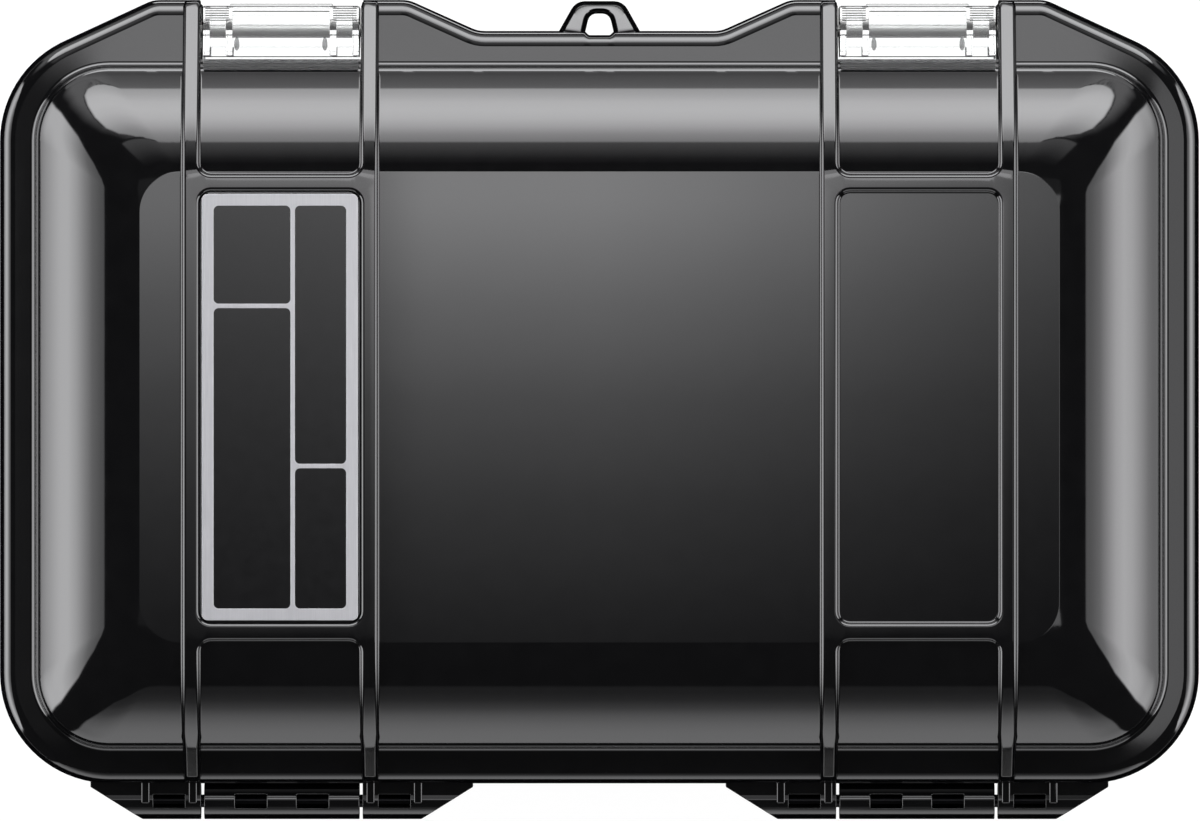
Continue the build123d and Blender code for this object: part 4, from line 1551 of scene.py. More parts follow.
@dataclass
class BaseRibs:
    """The base's ribs and crossbars, with the ears that hold the latch pins."""

    base: BaseShell
    ear_low_z: float = 43.1
    ear_root_z: float = 28.94
    ear_foot_round: float = 3.0
    ear_root_round: float = 6.0
    top: float = 54.2
    bury: float = 1.4
    path_margin: float = 45.0

    def side_path(self) -> SidePath:
        """Draws the ribs' outer line, from the front rim down and under to the back rim."""
        base = self.base
        s = base.outline.sizes
        radius = base.turn_radius + s.rib_height
        start = 90 - base.draft
        inset = base.wall_inset(base.turn_z - base.turn_radius * cos(radians(start)))
        inset += base.turn_radius * sin(radians(start))
        front = (s.rim_front_y + inset, base.turn_z)
        back = (s.rim_back_y - inset, base.turn_z)
        ear_y = s.front_y + s.ear_set_back
        back_y = s.rim_back_y - s.ear_set_back
        root_y = s.rim_front_y + base.wall_inset(self.ear_root_z) - s.rib_height
        heel_run = (s.wall_inset - s.rib_height - s.ear_set_back) / (1 - tan(radians(base.draft)))
        front_arc = arc_points(front, radius, 180 + start, 180, 3.0)
        back_arc = arc_points(back, radius, 180, 180 - start, 3.0)
        ear = rounded(
            [
                (ear_y, self.top, 0),
                (ear_y, self.ear_low_z, self.ear_foot_round),
                (root_y, self.ear_root_z, self.ear_root_round),
                (*front_arc[0], 0),
            ]
        )
        heel = rounded(
            [
                (*back_arc[-1], 0),
                (back_y - heel_run, s.base_rim_bottom - heel_run, self.ear_root_round),
                (back_y, s.base_rim_bottom, 0.4),
                (back_y, self.top, 0),
            ]
        )
        return SidePath.through([*ear, *front_arc, *back_arc, *heel])

    def build(self, centre_x: float) -> Mesh:
        """Builds one band's relief.

        Args:
            centre_x: The band's centre.

        Returns:
            The mesh.
        """
        base = self.base
        s = base.outline.sizes
        path = self.side_path()
        front_wall = s.rim_front_y + base.wall_inset(self.ear_root_z) - s.rib_height
        back_wall = s.rim_back_y - s.wall_inset + s.rib_height

        def place(along: float) -> PathPlace:
            """Gives a place on the outer line, with its skirt sunk in the base."""
            at, out = path.at(along)
            out = -out
            beyond = 0.0
            if at.y > base.turn_z:
                beyond = max(front_wall - at.x, at.x - back_wall, 0.0)
            spread = foot_spread(beyond)
            depth = s.rib_height + self.bury
            skirt = Vector((at.x - out.x * depth, at.y - out.y * depth))
            if beyond > 0:
                blend = min(1.0, beyond)
                wall_y = s.rim_front_y + base.wall_inset(at.y) + self.bury
                if at.x > 0:
                    wall_y = s.rim_back_y - base.wall_inset(at.y) - self.bury
                level = at.y - out.y * s.rib_height
                skirt = Vector((skirt.x * (1 - blend) + wall_y * blend, level))
            return PathPlace(at.x, at.y, out.x, out.y, skirt.x, skirt.y, spread)

        bars = path.crossbars(s, self.path_margin)
        return RibFrame(s, centre_x, place, path.length, bars).build()


def prism(
    outline: Sequence[Point],
    low: Callable[[Point], float] | float,
    high: Callable[[Point], float] | float,
    upright: bool = False,
) -> Mesh:
    """Runs an outline along X, or upwards.

    Args:
        outline: A closed outline: Y and Z along X, or X and Y upwards.
        low: Where it starts, or a function of an outline's point that says so.
        high: Where it ends, likewise.
        upright: Whether it runs upwards.

    Returns:
        The closed mesh.
    """
    points = []
    for end in (low, high):
        for point in outline:
            place = end(point) if callable(end) else end
            points.append((*point, place) if upright else (place, *point))
    return mesh_of(points, tube_faces(2, len(outline)))


def box_outline(left: float, right: float, front: float, back: float) -> list[Point]:
    """Gives a rectangle's corners."""
    return [(left, front), (right, front), (right, back), (left, back)]


def cut(mesh: Mesh, cutters: Sequence[Mesh]) -> Mesh:
    """Cuts solids out of a mesh.

    Args:
        mesh: The mesh, which is removed.
        cutters: The solids, which are removed and don't touch each other.

    Returns:
        The new mesh.
    """
    holder = new_object("holder", mesh)
    tool = new_object("tool", joined(cutters))
    step = holder.modifiers.new("cut", "BOOLEAN")
    step.operation = "DIFFERENCE"
    step.solver = "EXACT"
    step.object = tool
    result = applied(holder)
    bpy.data.objects.remove(tool)
    return result


def eased_copy(node: str, ease: float) -> Mesh:
    """Copies a CAD node's mesh with clean faces and eased edges.

    Args:
        node: The node.
        ease: The width of the ease on its edges, in millimetres.

    Returns:
        The new mesh.
    """
    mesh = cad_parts[node].data.copy()
    work = bmesh.new()
    work.from_mesh(mesh)
    bmesh.ops.remove_doubles(work, verts=work.verts, dist=MM / 1000)
    bmesh.ops.dissolve_limit(
        work, angle_limit=radians(0.6), verts=work.verts, edges=work.edges, delimit={"NORMAL"}
    )
    bmesh.ops.recalc_face_normals(work, faces=work.faces)
    for edge in work.edges:
        edge.smooth = True
    work.to_mesh(mesh)
    work.free()
    if mesh.has_custom_normals:
        mesh.attributes.remove(mesh.attributes["custom_normal"])
    return weighted(mesh, EDGE_ANGLE, ease * MM)


@dataclass
class HingeBracket:
    """One hinge, about its middle: two outer knuckles with fins on the lid, one on the base."""

    sizes: CaseSizes
    half_length: float = 30.05
    middle_half: float = 12.2
    slit: float = 0.5
    end_slope: float = 32.0
    end_land: float = 0.6
    window_width: float = 2.2
    window_length: float = 5.0
    outer_window: float = 17.7
    middle_window: float = 4.85
    fin_width: float = 1.3
    fin_reach: float = 3.2
    fin_height: float = 3.35
    outer_fin: float = 21.4
    root: float = 1.8
    ease: float = 0.22
    end_ease: float = 0.36

    def section(self, lid_side: bool) -> list[Point]:
        """Draws a knuckle from the side: round, with a block that joins it to its rim."""
        s = self.sizes
        hub = (s.hinge_y, s.parting_z)
        radius = s.knuckle_radius
        inner = s.rim_back_y - self.root
        if lid_side:
            arc = arc_points(hub, radius, 0, 270, 10)
            steps = [
                (hub[0] + place, s.parting_z + radius + drop)
                for place, drop in ((-1.0, -0.1), (-0.9, -0.05), (-0.4, -0.05), (-0.3, 0.0))
            ]
            return [(inner, steps[0][1]), *steps, *arc, (inner, s.parting_z)]
        arc = arc_points(hub, radius, 180, -90, 10)
        return [(inner, s.parting_z - radius), *arc, (inner, s.parting_z)]

    def window(self, x: float) -> Mesh:
        """Makes the cutter of a window above the pin."""
        s = self.sizes
        half = self.window_width / 2
        low, high = x - self.window_length / 2, x + self.window_length / 2
        outline = box_outline(low, high, s.hinge_y - half, s.hinge_y + half)
        top = s.parting_z + s.knuckle_radius + 1
        return prism(outline, s.parting_z, top, upright=True)

    def outer(self, centre_x: float) -> list[Mesh]:
        """Builds the lid's knuckles and fins.

        Args:
            centre_x: The hinge's middle.

        Returns:
            Their meshes.
        """
        s = self.sizes
        made = []
        land_y = s.rim_back_y + self.end_land
        past_y = s.back_y + 1
        slope_run = (past_y - land_y) / tan(radians(self.end_slope))
        for side in (-1, 1):
            start = centre_x + side * (self.middle_half + self.slit)
            end = centre_x + side * self.half_length
            knuckle = prism(self.section(True), start, end)
            corner = [
                (end, land_y),
                (end - side * slope_run, past_y),
                (end + side * 2, past_y),
                (end + side * 2, land_y),
            ]
            slant = prism(corner, s.parting_z - 5, s.parting_z + 5, upright=True)
            window = self.window(centre_x + side * self.outer_window)
            knuckle = cut(knuckle, [window, slant])
            made.append(weighted(knuckle, EDGE_ANGLE, self.end_ease * MM))
        fin = rounded(
            [
                (s.rim_back_y - s.rim_edge, s.parting_z + self.fin_width, 0),
                (s.rim_back_y - s.rim_edge, s.parting_z + self.fin_height, 0),
                (s.rim_back_y + self.fin_reach, s.parting_z + self.fin_height, 0.3),
                (s.rim_back_y + self.fin_reach, s.parting_z + self.fin_width, 0),
            ],
            closed=True,
        )
        for side in (-1, 1):
            for offset in (s.rib_pitch / 2, self.outer_fin):
                middle = centre_x + side * offset
                blade = prism(fin, middle - self.fin_width / 2, middle + self.fin_width / 2)
                made.append(weighted(blade, EDGE_ANGLE, self.ease * MM))
        return made

    def middle(self, centre_x: float) -> Mesh:
        """Builds the base's knuckle.

        Args:
            centre_x: The hinge's middle.

        Returns:
            The mesh.
        """
        knuckle = prism(
            self.section(False), centre_x - self.middle_half, centre_x + self.middle_half
        )
        windows = [self.window(centre_x + side * self.middle_window) for side in (-1, 1)]
        return weighted(cut(knuckle, windows), EDGE_ANGLE, self.ease * MM)


@dataclass
class LanyardEye:
    """The eye on the lid's front rim that a lanyard goes through, in millimetres."""

    sizes: CaseSizes
    foot_width: float = 12.7
    top_width: float = 7.4
    reach: float = 4.75
    top_tilt: float = 24.0
    low: float = 59.1
    high: float = 63.3
    corner: float = 2.4
    hole_width: float = 4.4
    hole_top_width: float = 3.1
    hole_front: float = 1.97
    hole_round: float = 1.4
    bury: float = 0.3
    edge: tuple[Point, ...] = ((0.0, 1.7), (0.6, 0.28), (0.68, 0.1), (0.8, 0.0))
    steps: int = 60

    def build(self) -> Mesh:
        """Builds the eye.

        Returns:
            The mesh.
        """
        tip = self.sizes.rim_front_y - self.reach
        outer = self.arch(self.foot_width, self.top_width, tip, self.corner)
        inner = self.arch(
            self.hole_width, self.hole_top_width, tip + self.hole_front, self.hole_round
        )
        points = []
        pairs = list(zip(outer, self.inward(outer), inner, self.inward(inner)))
        for edge_out, across_out, edge_in, across_in in pairs:
            section = [(edge_out, self.low)]
            for run, drop in self.edge:
                place = edge_out + across_out * run
                section.append((place, self.top_at(place.y) - drop))
            for run, drop in reversed(self.edge):
                place = edge_in - across_in * run
                section.append((place, self.top_at(place.y) - drop))
            section.append((edge_in, self.low))
            points += [(place.x, place.y, z) for place, z in section]
        return weighted(mesh_of(points, tube_faces(len(pairs), len(points) // len(pairs))))

    def arch(self, foot: float, top: float, tip: float, radius: float) -> list[Vector]:
        """Draws an arch from the rim out to the front and back.

        Args:
            foot: Its width at the rim.
            top: Its width at the front, before its corners are rounded.
            tip: The Y of its front.
            radius: The radius of its front corners.

        Returns:
            Its points, evenly spaced.
        """
        s = self.sizes
        root = s.rim_front_y + s.eye_notch + self.bury
        half, narrow = foot / 2, top / 2
        left = [(-half, root, 0), (-half, s.rim_front_y, 0), (-narrow, tip, radius)]
        right = [(-x, y, rounding) for x, y, rounding in reversed(left)]
        return self.spaced(rounded([*left, *right]))

    def inward(self, path: Sequence[Vector]) -> list[Vector]:
        """Gives the directions across a path, towards the eye's middle."""
        directions = []
        for k in range(len(path)):
            along = path[min(k + 1, len(path) - 1)] - path[max(k - 1, 0)]
            directions.append(Vector((-along.y, along.x)).normalized())
        return directions

    def top_at(self, y: float) -> float:
        """Gives the height of the eye's top, which slopes down towards the front."""
        return self.high - max(0.0, self.sizes.rim_front_y - y) * tan(radians(self.top_tilt))

    def spaced(self, path: Sequence[Point]) -> list[Vector]:
        """Spaces points evenly along a path, so that two paths can be joined.

        Args:
            path: The path's points.

        Returns:
            The evenly spaced points, its ends among them.
        """
        corners = [Vector(point) for point in path]
        lengths = [(after - before).length for before, after in zip(corners, corners[1:])]
        total = sum(lengths)
        places = []
        for step in range(self.steps + 1):
            left = total * step / self.steps
            k = 0
            while k < len(lengths) - 1 and left > lengths[k]:
                left -= lengths[k]
                k += 1
            places.append(corners[k].lerp(corners[k + 1], min(1.0, left / lengths[k])))
        return places


@dataclass
class CatchRidge:
    """The ledge and ridge of the lid that a latch's lip snaps over, in millimetres."""

    lid: LidShell
    edge: float = 0.2
    groove_round: float = 0.15
    bury: float = 1.0
    side_bury: float = 0.15
    foot: float = 0.3

    def build(self, centre_x: float) -> Mesh:
        """Builds one catch.

        Args:
            centre_x: The latch's middle.

        Returns:
            The mesh.
        """
        lid = self.lid
        s = lid.outline.sizes
        wall_y = s.bay_wall_y
        back_y = s.rim_front_y + s.wall_inset + self.bury
        top = s.parting_z + lid.catch_height
        groove = top - lid.catch_groove_depth
        ridge_y = wall_y + lid.catch_thickness
        outline = rounded(
            [
                (wall_y, s.parting_z + self.foot, 0),
                (wall_y, top, self.edge),
                (ridge_y, top, self.edge),
                (ridge_y, groove, self.groove_round),
                (back_y, groove, 0),
                (back_y, s.parting_z + self.foot, 0),
            ],
            closed=True,
        )
        half = s.bay_half + self.side_bury
        return weighted(prism(outline, centre_x - half, centre_x + half), EDGE_ANGLE)


def turned(profile: Sequence[Point], centre: Vector, axis: Vector, steps: int = 40) -> Mesh:
    """Turns a profile about an axis, as on a lathe.

    Args:
        profile: Its points, as distance along the axis and radius.
        centre: A point of the axis, in millimetres.
        axis: The axis's direction.
        steps: How many sides the result has.

    Returns:
        The mesh.
    """
    turn = Vector((0, 0, 1)).rotation_difference(axis)
    points = []
    for along, radius in profile:
        for step in range(steps):
            angle = 2 * pi * step / steps
            local = Vector((radius * cos(angle), radius * sin(angle), along))
            points.append(centre + turn @ local)
    return mesh_of(points, tube_faces(len(profile), steps))


@dataclass
class HeadlessPin:
    """A straight steel pin with chamfered ends, along X, in millimetres."""

    radius: float
    length: float
    chamfer: float = 0.25

    def build(self, centre: Vector) -> Mesh:
        """Builds the pin.

        Args:
            centre: Its middle.

        Returns:
            The mesh.
        """
        half = self.length / 2
        profile = [
            (-half, self.radius - self.chamfer),
            (-half + self.chamfer, self.radius),
            (half - self.chamfer, self.radius),
            (half, self.radius - self.chamfer),
        ]
        return weighted(turned(profile, centre, Vector((1, 0, 0))), EDGE_ANGLE)


def with_painted_shade(mesh: Mesh, painted_shade: float) -> Mesh:
    """Marks a whole mesh with how much painted shade, dark grey mixed into its clear colour, it
    gets, and gives it back.
    """
    # Painted shade: the share of dark grey that the clear material paints into this mesh
    attribute = mesh.attributes.new("ridge", "FLOAT", "POINT")
    attribute.data.foreach_set("value", [painted_shade] * len(mesh.vertices))
    return mesh


@dataclass
class ClearLatch:
    """A clear latch: the CAD moulding with eased edges, grip lines beside its tab, and the fine
    steps and ovals of its web.

    Each step is its place from front to back, half its length, its width and its painted shade, the
    share of dark grey painted into its clear colour.
    """

    ease: float = 0.16
    line_count: int = 6
    line_pitch: float = 0.4
    line_length: float = 3.7
    line_width: float = 0.13
    line_height: float = 0.1
    line_margin: float = 0.35
    width: float = 24.4
    web_front: Point = (-63.335, 66.5)
    web_back: Point = (-53.215, 70.1)
    first_line: float = 0.45
    # Painted shade: the grip lines are painted dark grey for the dark lines that their edges show
    line_painted_shade: float = 0.8
    # The last column of each step is painted shade: dark grey painted into the clear colour
    steps: tuple[tuple[float, float, float, float], ...] = (
        (-63.25, 12.05, 0.15, 1.0),
        (-62.45, 7.6, 0.16, 1.0),
        (-55.3, 12.05, 0.16, 1.0),
        (-54.75, 12.05, 0.12, 0.85),
        (-54.0, 12.05, 0.55, 0.8),
        (-53.35, 12.05, 0.16, 0.95),
    )
    oval_place: float = 6.9
    oval_y: float = -57.3
    oval_width: float = 0.85
    oval_length: float = 2.1
    # Painted shade: the ovals are painted dark grey as well
    oval_painted_shade: float = 0.75

    def line_tree(self) -> bpy.types.NodeTree:
        """Builds the node tree that sets out the grip lines down a latch's web."""
        tree = bpy.data.node_groups.new("grip_lines", "GeometryNodeTree")
        tree.interface.new_socket("Geometry", in_out="INPUT", socket_type="NodeSocketGeometry")
        for name, kind in (
            ("Pitch", "Float"),
            ("Length", "Float"),
            ("Width", "Float"),
            ("Height", "Float"),
            ("Count", "Int"),
            ("Finish", "Material"),
        ):
            tree.interface.new_socket(name, in_out="INPUT", socket_type=f"NodeSocket{kind}")
        tree.interface.new_socket("Geometry", in_out="OUTPUT", socket_type="NodeSocketGeometry")
        add = partial(add_node, tree)
        given = add("NodeGroupInput").outputs
        step = add("ShaderNodeCombineXYZ", {"Y": given["Pitch"]})
        places = add("GeometryNodeMeshLine", {
            "Count": given["Count"], "Offset": step,
        }, mode="OFFSET")
        size = add("ShaderNodeCombineXYZ", {
            "X": given["Length"], "Y": given["Width"], "Z": given["Height"],
        })
        bar = add("GeometryNodeMeshCube", {"Size": (1.0, 1.0, 1.0)})
        shaped = add("GeometryNodeTransform", {"Geometry": bar, "Scale": size})
        copies = add("GeometryNodeInstanceOnPoints", {"Points": places, "Instance": shaped})
        real = add("GeometryNodeRealizeInstances", {"Geometry": copies})
        dressed = add("GeometryNodeSetMaterial", {"Geometry": real, "Material": given["Finish"]})
        add("NodeGroupOutput", {"Geometry": dressed})
        return tree

    def lines(self, centre_x: float) -> list[Mesh]:
        """Builds the grip lines on both sides of the tab.

        Args:
            centre_x: The latch's middle.

        Returns:
            Their meshes.
        """
        tree = self.line_tree()
        values = {
            "Pitch": self.line_pitch * MM,
            "Length": self.line_length * MM,
            "Width": self.line_width * MM,
            "Height": self.line_height * MM,
            "Count": self.line_count,
            "Finish": material_of(Finish.CLEAR),
        }
        front, back = Vector(self.web_front), Vector(self.web_back)
        slope = atan2(back.y - front.y, back.x - front.x)
        start = front + (back - front).normalized() * self.first_line
        made = []
        for side in (-1, 1):
            holder = new_object("lines", bpy.data.meshes.new("lines"))
            step = holder.modifiers.new("lines", "NODES")
            step.node_group = tree
            for socket in tree.interface.items_tree:
                if socket.in_out == "INPUT" and socket.name in values:
                    step[socket.identifier] = values[socket.name]
            mesh = applied(holder)
            across = side * (self.width / 2 - self.line_length / 2 - self.line_margin)
            place = Vector((centre_x + across, start.x, start.y)) * MM
            mesh.transform(Matrix.Translation(place) @ Matrix.Rotation(slope, 4, "X"))
            mesh.shade_smooth()
            # Painted shade: each grip line is painted dark grey
            made.append(with_painted_shade(mesh, self.line_painted_shade))
        return made

    def web_z(self, y: float) -> float:
        """Gives the height of the web's upper face."""
        front, back = self.web_front, self.web_back
        return front[1] + (y - front[0]) * (back[1] - front[1]) / (back[0] - front[0])

    def marks(self, centre_x: float) -> list[Mesh]:
        """Builds the fine steps across the web, and the ovals beside the ribs.

        Args:
            centre_x: The latch's middle.

        Returns:
            Their meshes.
        """
        made = []
        # Each step and oval gets its painted shade, dark grey in its clear colour
        for y, half, width, painted_shade in self.steps:
            outline = [
                (y + side_y * width / 2, self.web_z(y + side_y * width / 2) + side_z * 0.05)
                for side_y, side_z in ((-1, -1), (1, -1), (1, 1), (-1, 1))
            ]
            made.append(with_painted_shade(prism(outline, centre_x - half, centre_x + half), painted_shade))
        for side in (-1, 1):
            middle = centre_x + side * self.oval_place
            outline = [
                (
                    middle + self.oval_width / 2 * cos(2 * pi * k / 24),
                    self.oval_y + self.oval_length / 2 * sin(2 * pi * k / 24),
                )
                for k in range(24)
            ]
            oval = prism(
                outline,
                lambda point: self.web_z(point[1]) - 0.08,
                lambda point: self.web_z(point[1]) + 0.04,
                upright=True,
            )
            made.append(with_painted_shade(oval, self.oval_painted_shade))
        return made

    def build(self, node: str, centre_x: float) -> Mesh:
        """Builds one latch.

        Args:
            node: Its CAD node.
            centre_x: The latch's middle.

        Returns:
            The mesh.
        """
        # The moulding itself gets no painted shade
        mesh = with_painted_shade(eased_copy(node, self.ease), 0.0)
        return joined([mesh, *self.lines(centre_x), *self.marks(centre_x)])


@dataclass(frozen=True)
class Softbox:
    """A lit patch of a large sphere round the case.

    Its widths and its stops give its half width and its radiance at each elevation, in degrees.
    """

    name: str
    azimuth: float
    widths: tuple[Point, ...]
    stops: tuple[Point, ...]
    margin: float = 2.0
    distance: float = 6.0
    centre_z: float = 0.068
    fade: float = 2.5
    columns: int = 100
    rows: int = 110

    def build(self, material: Material) -> None:
        """Builds the softbox.

        Args:
            material: The lamp material, which reads the radiance attribute.
        """
        low, high = self.stops[0][0], self.stops[-1][0]
        points, glow = [], []
        reach = max(width for place, width in self.widths) + self.margin
        for row in range(self.rows + 1):
            elevation = low + (high - low) * row / self.rows
            width = graded(self.widths, elevation)
            for column in range(self.columns + 1):
                across = reach * (2 * column / self.columns - 1)
                azimuth = radians(self.azimuth + across)
                flat = self.distance * cos(radians(elevation))
                height = self.centre_z + self.distance * sin(radians(elevation))
                points.append((flat * cos(azimuth), flat * sin(azimuth), height))
                inside = smooth_step((width - abs(across)) / self.fade)
                glow.append(graded(self.stops, elevation) * inside)
        lamp_object(self.name, points, grid_faces(self.rows, self.columns), glow, material)


def graded(stops: Sequence[Point], place: float) -> float:
    """Reads a graded value between stops.

    Args:
        stops: Places and values, in order.
        place: The place.

    Returns:
        The value there.
    """
    for (low, first), (high, second) in zip(stops[:-1], stops[1:]):
        if place <= high:
            return first + (second - first) * (place - low) / (high - low)
    return stops[-1][1]


def lamp_object(
    name: str,
    points: Sequence[Sequence[float]],
    faces: Sequence[Sequence[int]],
    glow: Sequence[float],
    material: Material,
) -> None:
    """Makes a lit sheet that the camera doesn't see.

    Args:
        name: Its name.
        points: Its points, in metres.
        faces: Its faces.
        glow: The radiance at each point.
        material: The lamp material.
    """
    mesh = bpy.data.meshes.new(name)
    mesh.from_pydata(points, [], faces)
    attribute = mesh.attributes.new("radiance", "FLOAT", "POINT")
    attribute.data.foreach_set("value", glow)
    mesh.materials.append(material)
    made = new_object(name, mesh)
    made.visible_camera = False
    made.visible_shadow = False


def flat_sheet(name: str, half: float, level: float, material: Material) -> bpy.types.Object:
    """Lays a square sheet under the case.

    Args:
        name: Its name.
        half: Half its side, in metres.
        level: Its height.
        material: Its material.

    Returns:
        Its object.
    """
    mesh = bpy.data.meshes.new(name)
    corners = [(x, y, level) for x, y in box_outline(-half, half, -half, half)]
    mesh.from_pydata(corners, [], [(0, 1, 2, 3)])
    mesh.materials.append(material)
    sheet = new_object(name, mesh)
    return sheet


@dataclass
class Studio:
    """The plain floor, the softboxes, the card over the case and the camera, in metres.

    What names a place on the card is in millimetres on the lid: strip_glow and width_glow run
    across it, and depth_glow from front to back.
    """

    sizes: CaseSizes
    camera_height: float = 3.0
    sensor: float = 0.036
    view_width: float = 0.18843
    aim: tuple[float, float, float] = (-0.00009, 0.00011, 0.0611)
    card_gap: float = 0.35
    card_front: float = -0.075
    card_back: float = 0.060
    card_half: float = 0.125
    card_columns: int = 130
    card_rows: int = 90
    floor_half: float = 3.0
    floor_share: float = 0.85
    floor_glow: float = 1.1
    dark_limit: float = 0.02
    flag_half: float = 1.2
    flag_z: float = 0.001
    reflector_near: float = 0.165
    reflector_far: float = 0.24
    reflector_half: float = 0.1
    reflector_glow: float = 4.0
    room_light: float = 0.03
    card_strip: float = 6.4
    card_edge: float = 88.0
    left_glow: float = 0.98
    right_glow: float = 0.08
    card_crease: float = -41.0
    crease_half: float = 72.0
    crease_glow: float = 3.0
    strip_glow: tuple[Point, ...] = (
        (0.0, 1.78), (79.0, 1.78), (84.0, 0.65), (87.0, 0.35), (90.0, 0.1), (130.0, 0.1)
    )
    depth_glow: tuple[Point, ...] = (
        (-37.0, 2.4), (-33.0, 2.4), (-17.2, 1.43), (-1.5, 0.75), (14.2, 0.37), (29.9, 0.17),
        (40.0, 0.08), (52.0, 0.02), (70.0, 0.02),
    )
    width_glow: tuple[Point, ...] = (
        (-72.0, 0.35), (-71.0, 0.35), (-67.6, 0.38), (-61.0, 0.434), (-50.0, 0.535), (-39.0, 0.65),
        (-34.0, 0.71), (-28.0, 0.755), (-16.0, 0.88), (0.0, 1.0), (28.0, 1.0), (35.0, 0.68),
        (72.0, 0.68),
    )

    softboxes: tuple[Softbox, ...] = (
        Softbox(
            "front_softbox",
            -90.0,
            (
                (0.0, 42.0), (15.2, 42.0), (15.9, 4.0), (17.0, 15.0), (18.5, 22.0), (21.0, 29.0),
                (25.0, 34.5), (32.0, 38.5), (40.0, 41.0), (48.4, 40.5), (54.0, 35.0), (57.5, 24.0),
                (58.8, 6.0), (59.3, 40.0), (76.0, 40.0),
            ),
            (
                (0.0, 0.45), (5.8, 0.72), (13.4, 1.05), (15.3, 1.2), (16.0, 3.6), (20.6, 4.1),
                (27.5, 5.2), (34.0, 5.5), (40.6, 5.15), (47.0, 4.15), (53.0, 2.75), (58.6, 2.0),
                (59.3, 0.6), (65.0, 0.36), (71.0, 0.1), (76.0, 0.0),
            ),
        ),
        Softbox(
            "front_surround",
            -90.0,
            ((15.9, 46.0), (18.0, 48.0), (25.0, 52.0), (37.6, 53.0), (48.4, 49.0), (58.0, 38.0)),
            ((15.9, 1.05), (30.0, 1.0), (40.0, 0.8), (50.0, 0.6), (58.0, 0.4)),
            distance=6.1,
            fade=14.0,
        ),
        Softbox(
            "left_softbox",
            180.0,
            ((0.0, 35.0), (24.0, 33.6), (42.0, 28.0), (55.0, 17.0), (60.7, 8.0)),
            (
                (0.0, 1.4), (5.0, 1.4), (9.2, 1.8), (16.5, 3.0), (23.6, 4.1), (30.4, 4.6),
                (37.0, 4.0), (43.4, 2.7), (49.6, 1.5), (55.7, 1.0), (60.0, 0.85), (60.7, 0.0),
            ),
        ),
        Softbox(
            "right_softbox",
            0.0,
            ((0.0, 35.0), (22.0, 33.6), (38.0, 28.0), (50.0, 17.0), (54.2, 8.0)),
            (
                (0.0, 2.2), (2.8, 2.5), (10.5, 3.7), (17.9, 4.6), (24.9, 4.75), (31.6, 3.8),
                (38.2, 2.45), (44.5, 1.35), (50.7, 0.9), (53.5, 0.8), (54.2, 0.0),
            ),
        ),
        Softbox(
            "back_softbox",
            90.0,
            ((0.0, 36.0), (24.0, 32.0), (40.0, 24.0), (50.0, 8.0)),
            (
                (0.0, 1.4), (9.6, 1.4), (17.0, 1.22), (24.0, 0.9), (30.8, 0.44), (37.4, 0.2),
                (43.8, 0.12), (47.0, 0.12), (50.0, 0.0),
            ),
        ),
    )

    def lamp_material(self) -> Material:
        """Builds the lamps' material: light of the strength that the radiance attribute gives."""
        material, add = new_material("softbox_cloth")
        glow = add(
            "ShaderNodeAttribute", attribute_name="radiance", attribute_type="GEOMETRY"
        ).outputs["Fac"]
        light = add("ShaderNodeEmission", {"Color": linear("fdfdff"), "Strength": glow})
        lit = add("ShaderNodeMath", {0: glow, 1: self.dark_limit}, operation="GREATER_THAN")
        air = add("ShaderNodeBsdfTransparent")
        sheet = add("ShaderNodeMixShader", {0: lit, 1: air, 2: light})
        add("ShaderNodeOutputMaterial", {"Surface": sheet})
        return material

    def floor_material(self) -> Material:
        """Builds the floor's material: white paper that keeps a trace of the case's shadow."""
        material, add = new_material("white_paper")
        path = add("ShaderNodeLightPath").outputs
        seen = add("ShaderNodeMath", {
            0: path["Is Camera Ray"], 1: path["Is Glossy Ray"],
        }, operation="MAXIMUM")
        seen = add("ShaderNodeMath", {0: seen, 1: path["Is Transmission Ray"]}, operation="MAXIMUM")
        share = add("ShaderNodeMath", {0: seen, 1: self.floor_share}, operation="MULTIPLY")
        place = add("ShaderNodeTexCoord").outputs["Object"]
        fibre = add("ShaderNodeTexNoise", {"Vector": place, "Scale": per_mm(1.5), "Detail": 4.0})
        tone = add("ShaderNodeValToRGB", {"Fac": fibre})
        set_stops(tone, (0.0, "f4f4f4"), (1.0, "fafafa"))
        paper = add("ShaderNodeBsdfDiffuse", {"Color": tone})
        glow = add("ShaderNodeEmission", {"Strength": self.floor_glow})
        mixed = add("ShaderNodeMixShader", {0: share, 1: paper, 2: glow})
        add("ShaderNodeOutputMaterial", {"Surface": mixed})
        return material

    def card_glow(self, x: float, y: float) -> float:
        """Gives the overhead card's radiance.

        Args:
            x: The place across, in metres at the case's own height, of what reflects it.
            y: The place from front to back, likewise.

        Returns:
            The radiance.
        """
        x, y = x / MM, y / MM
        if y < self.sizes.rim_front_y + self.card_strip:
            return graded(self.strip_glow, abs(x))
        if x < -self.card_edge:
            return self.left_glow
        if x > self.card_edge:
            return self.right_glow
        if y < self.card_crease:
            return self.crease_glow if abs(x) < self.crease_half else 0.0
        return graded(self.depth_glow, y) * graded(self.width_glow, x)

    def build_card(self, material: Material) -> None:
        """Builds the card whose reflection lies on the lid's flat top."""
        level = CAD_BOX[1].z + self.card_gap
        grow = 1 + self.card_gap / self.camera_height
        columns, rows = self.card_columns, self.card_rows
        points, glow = [], []
        for row in range(rows + 1):
            y = self.card_front + (self.card_back - self.card_front) * row / rows
            for column in range(columns + 1):
                x = self.card_half * (2 * column / columns - 1)
                points.append((x * grow, y * grow, level))
                glow.append(self.card_glow(x, y))
        lamp_object("overhead_card", points, grid_faces(rows, columns), glow, material)

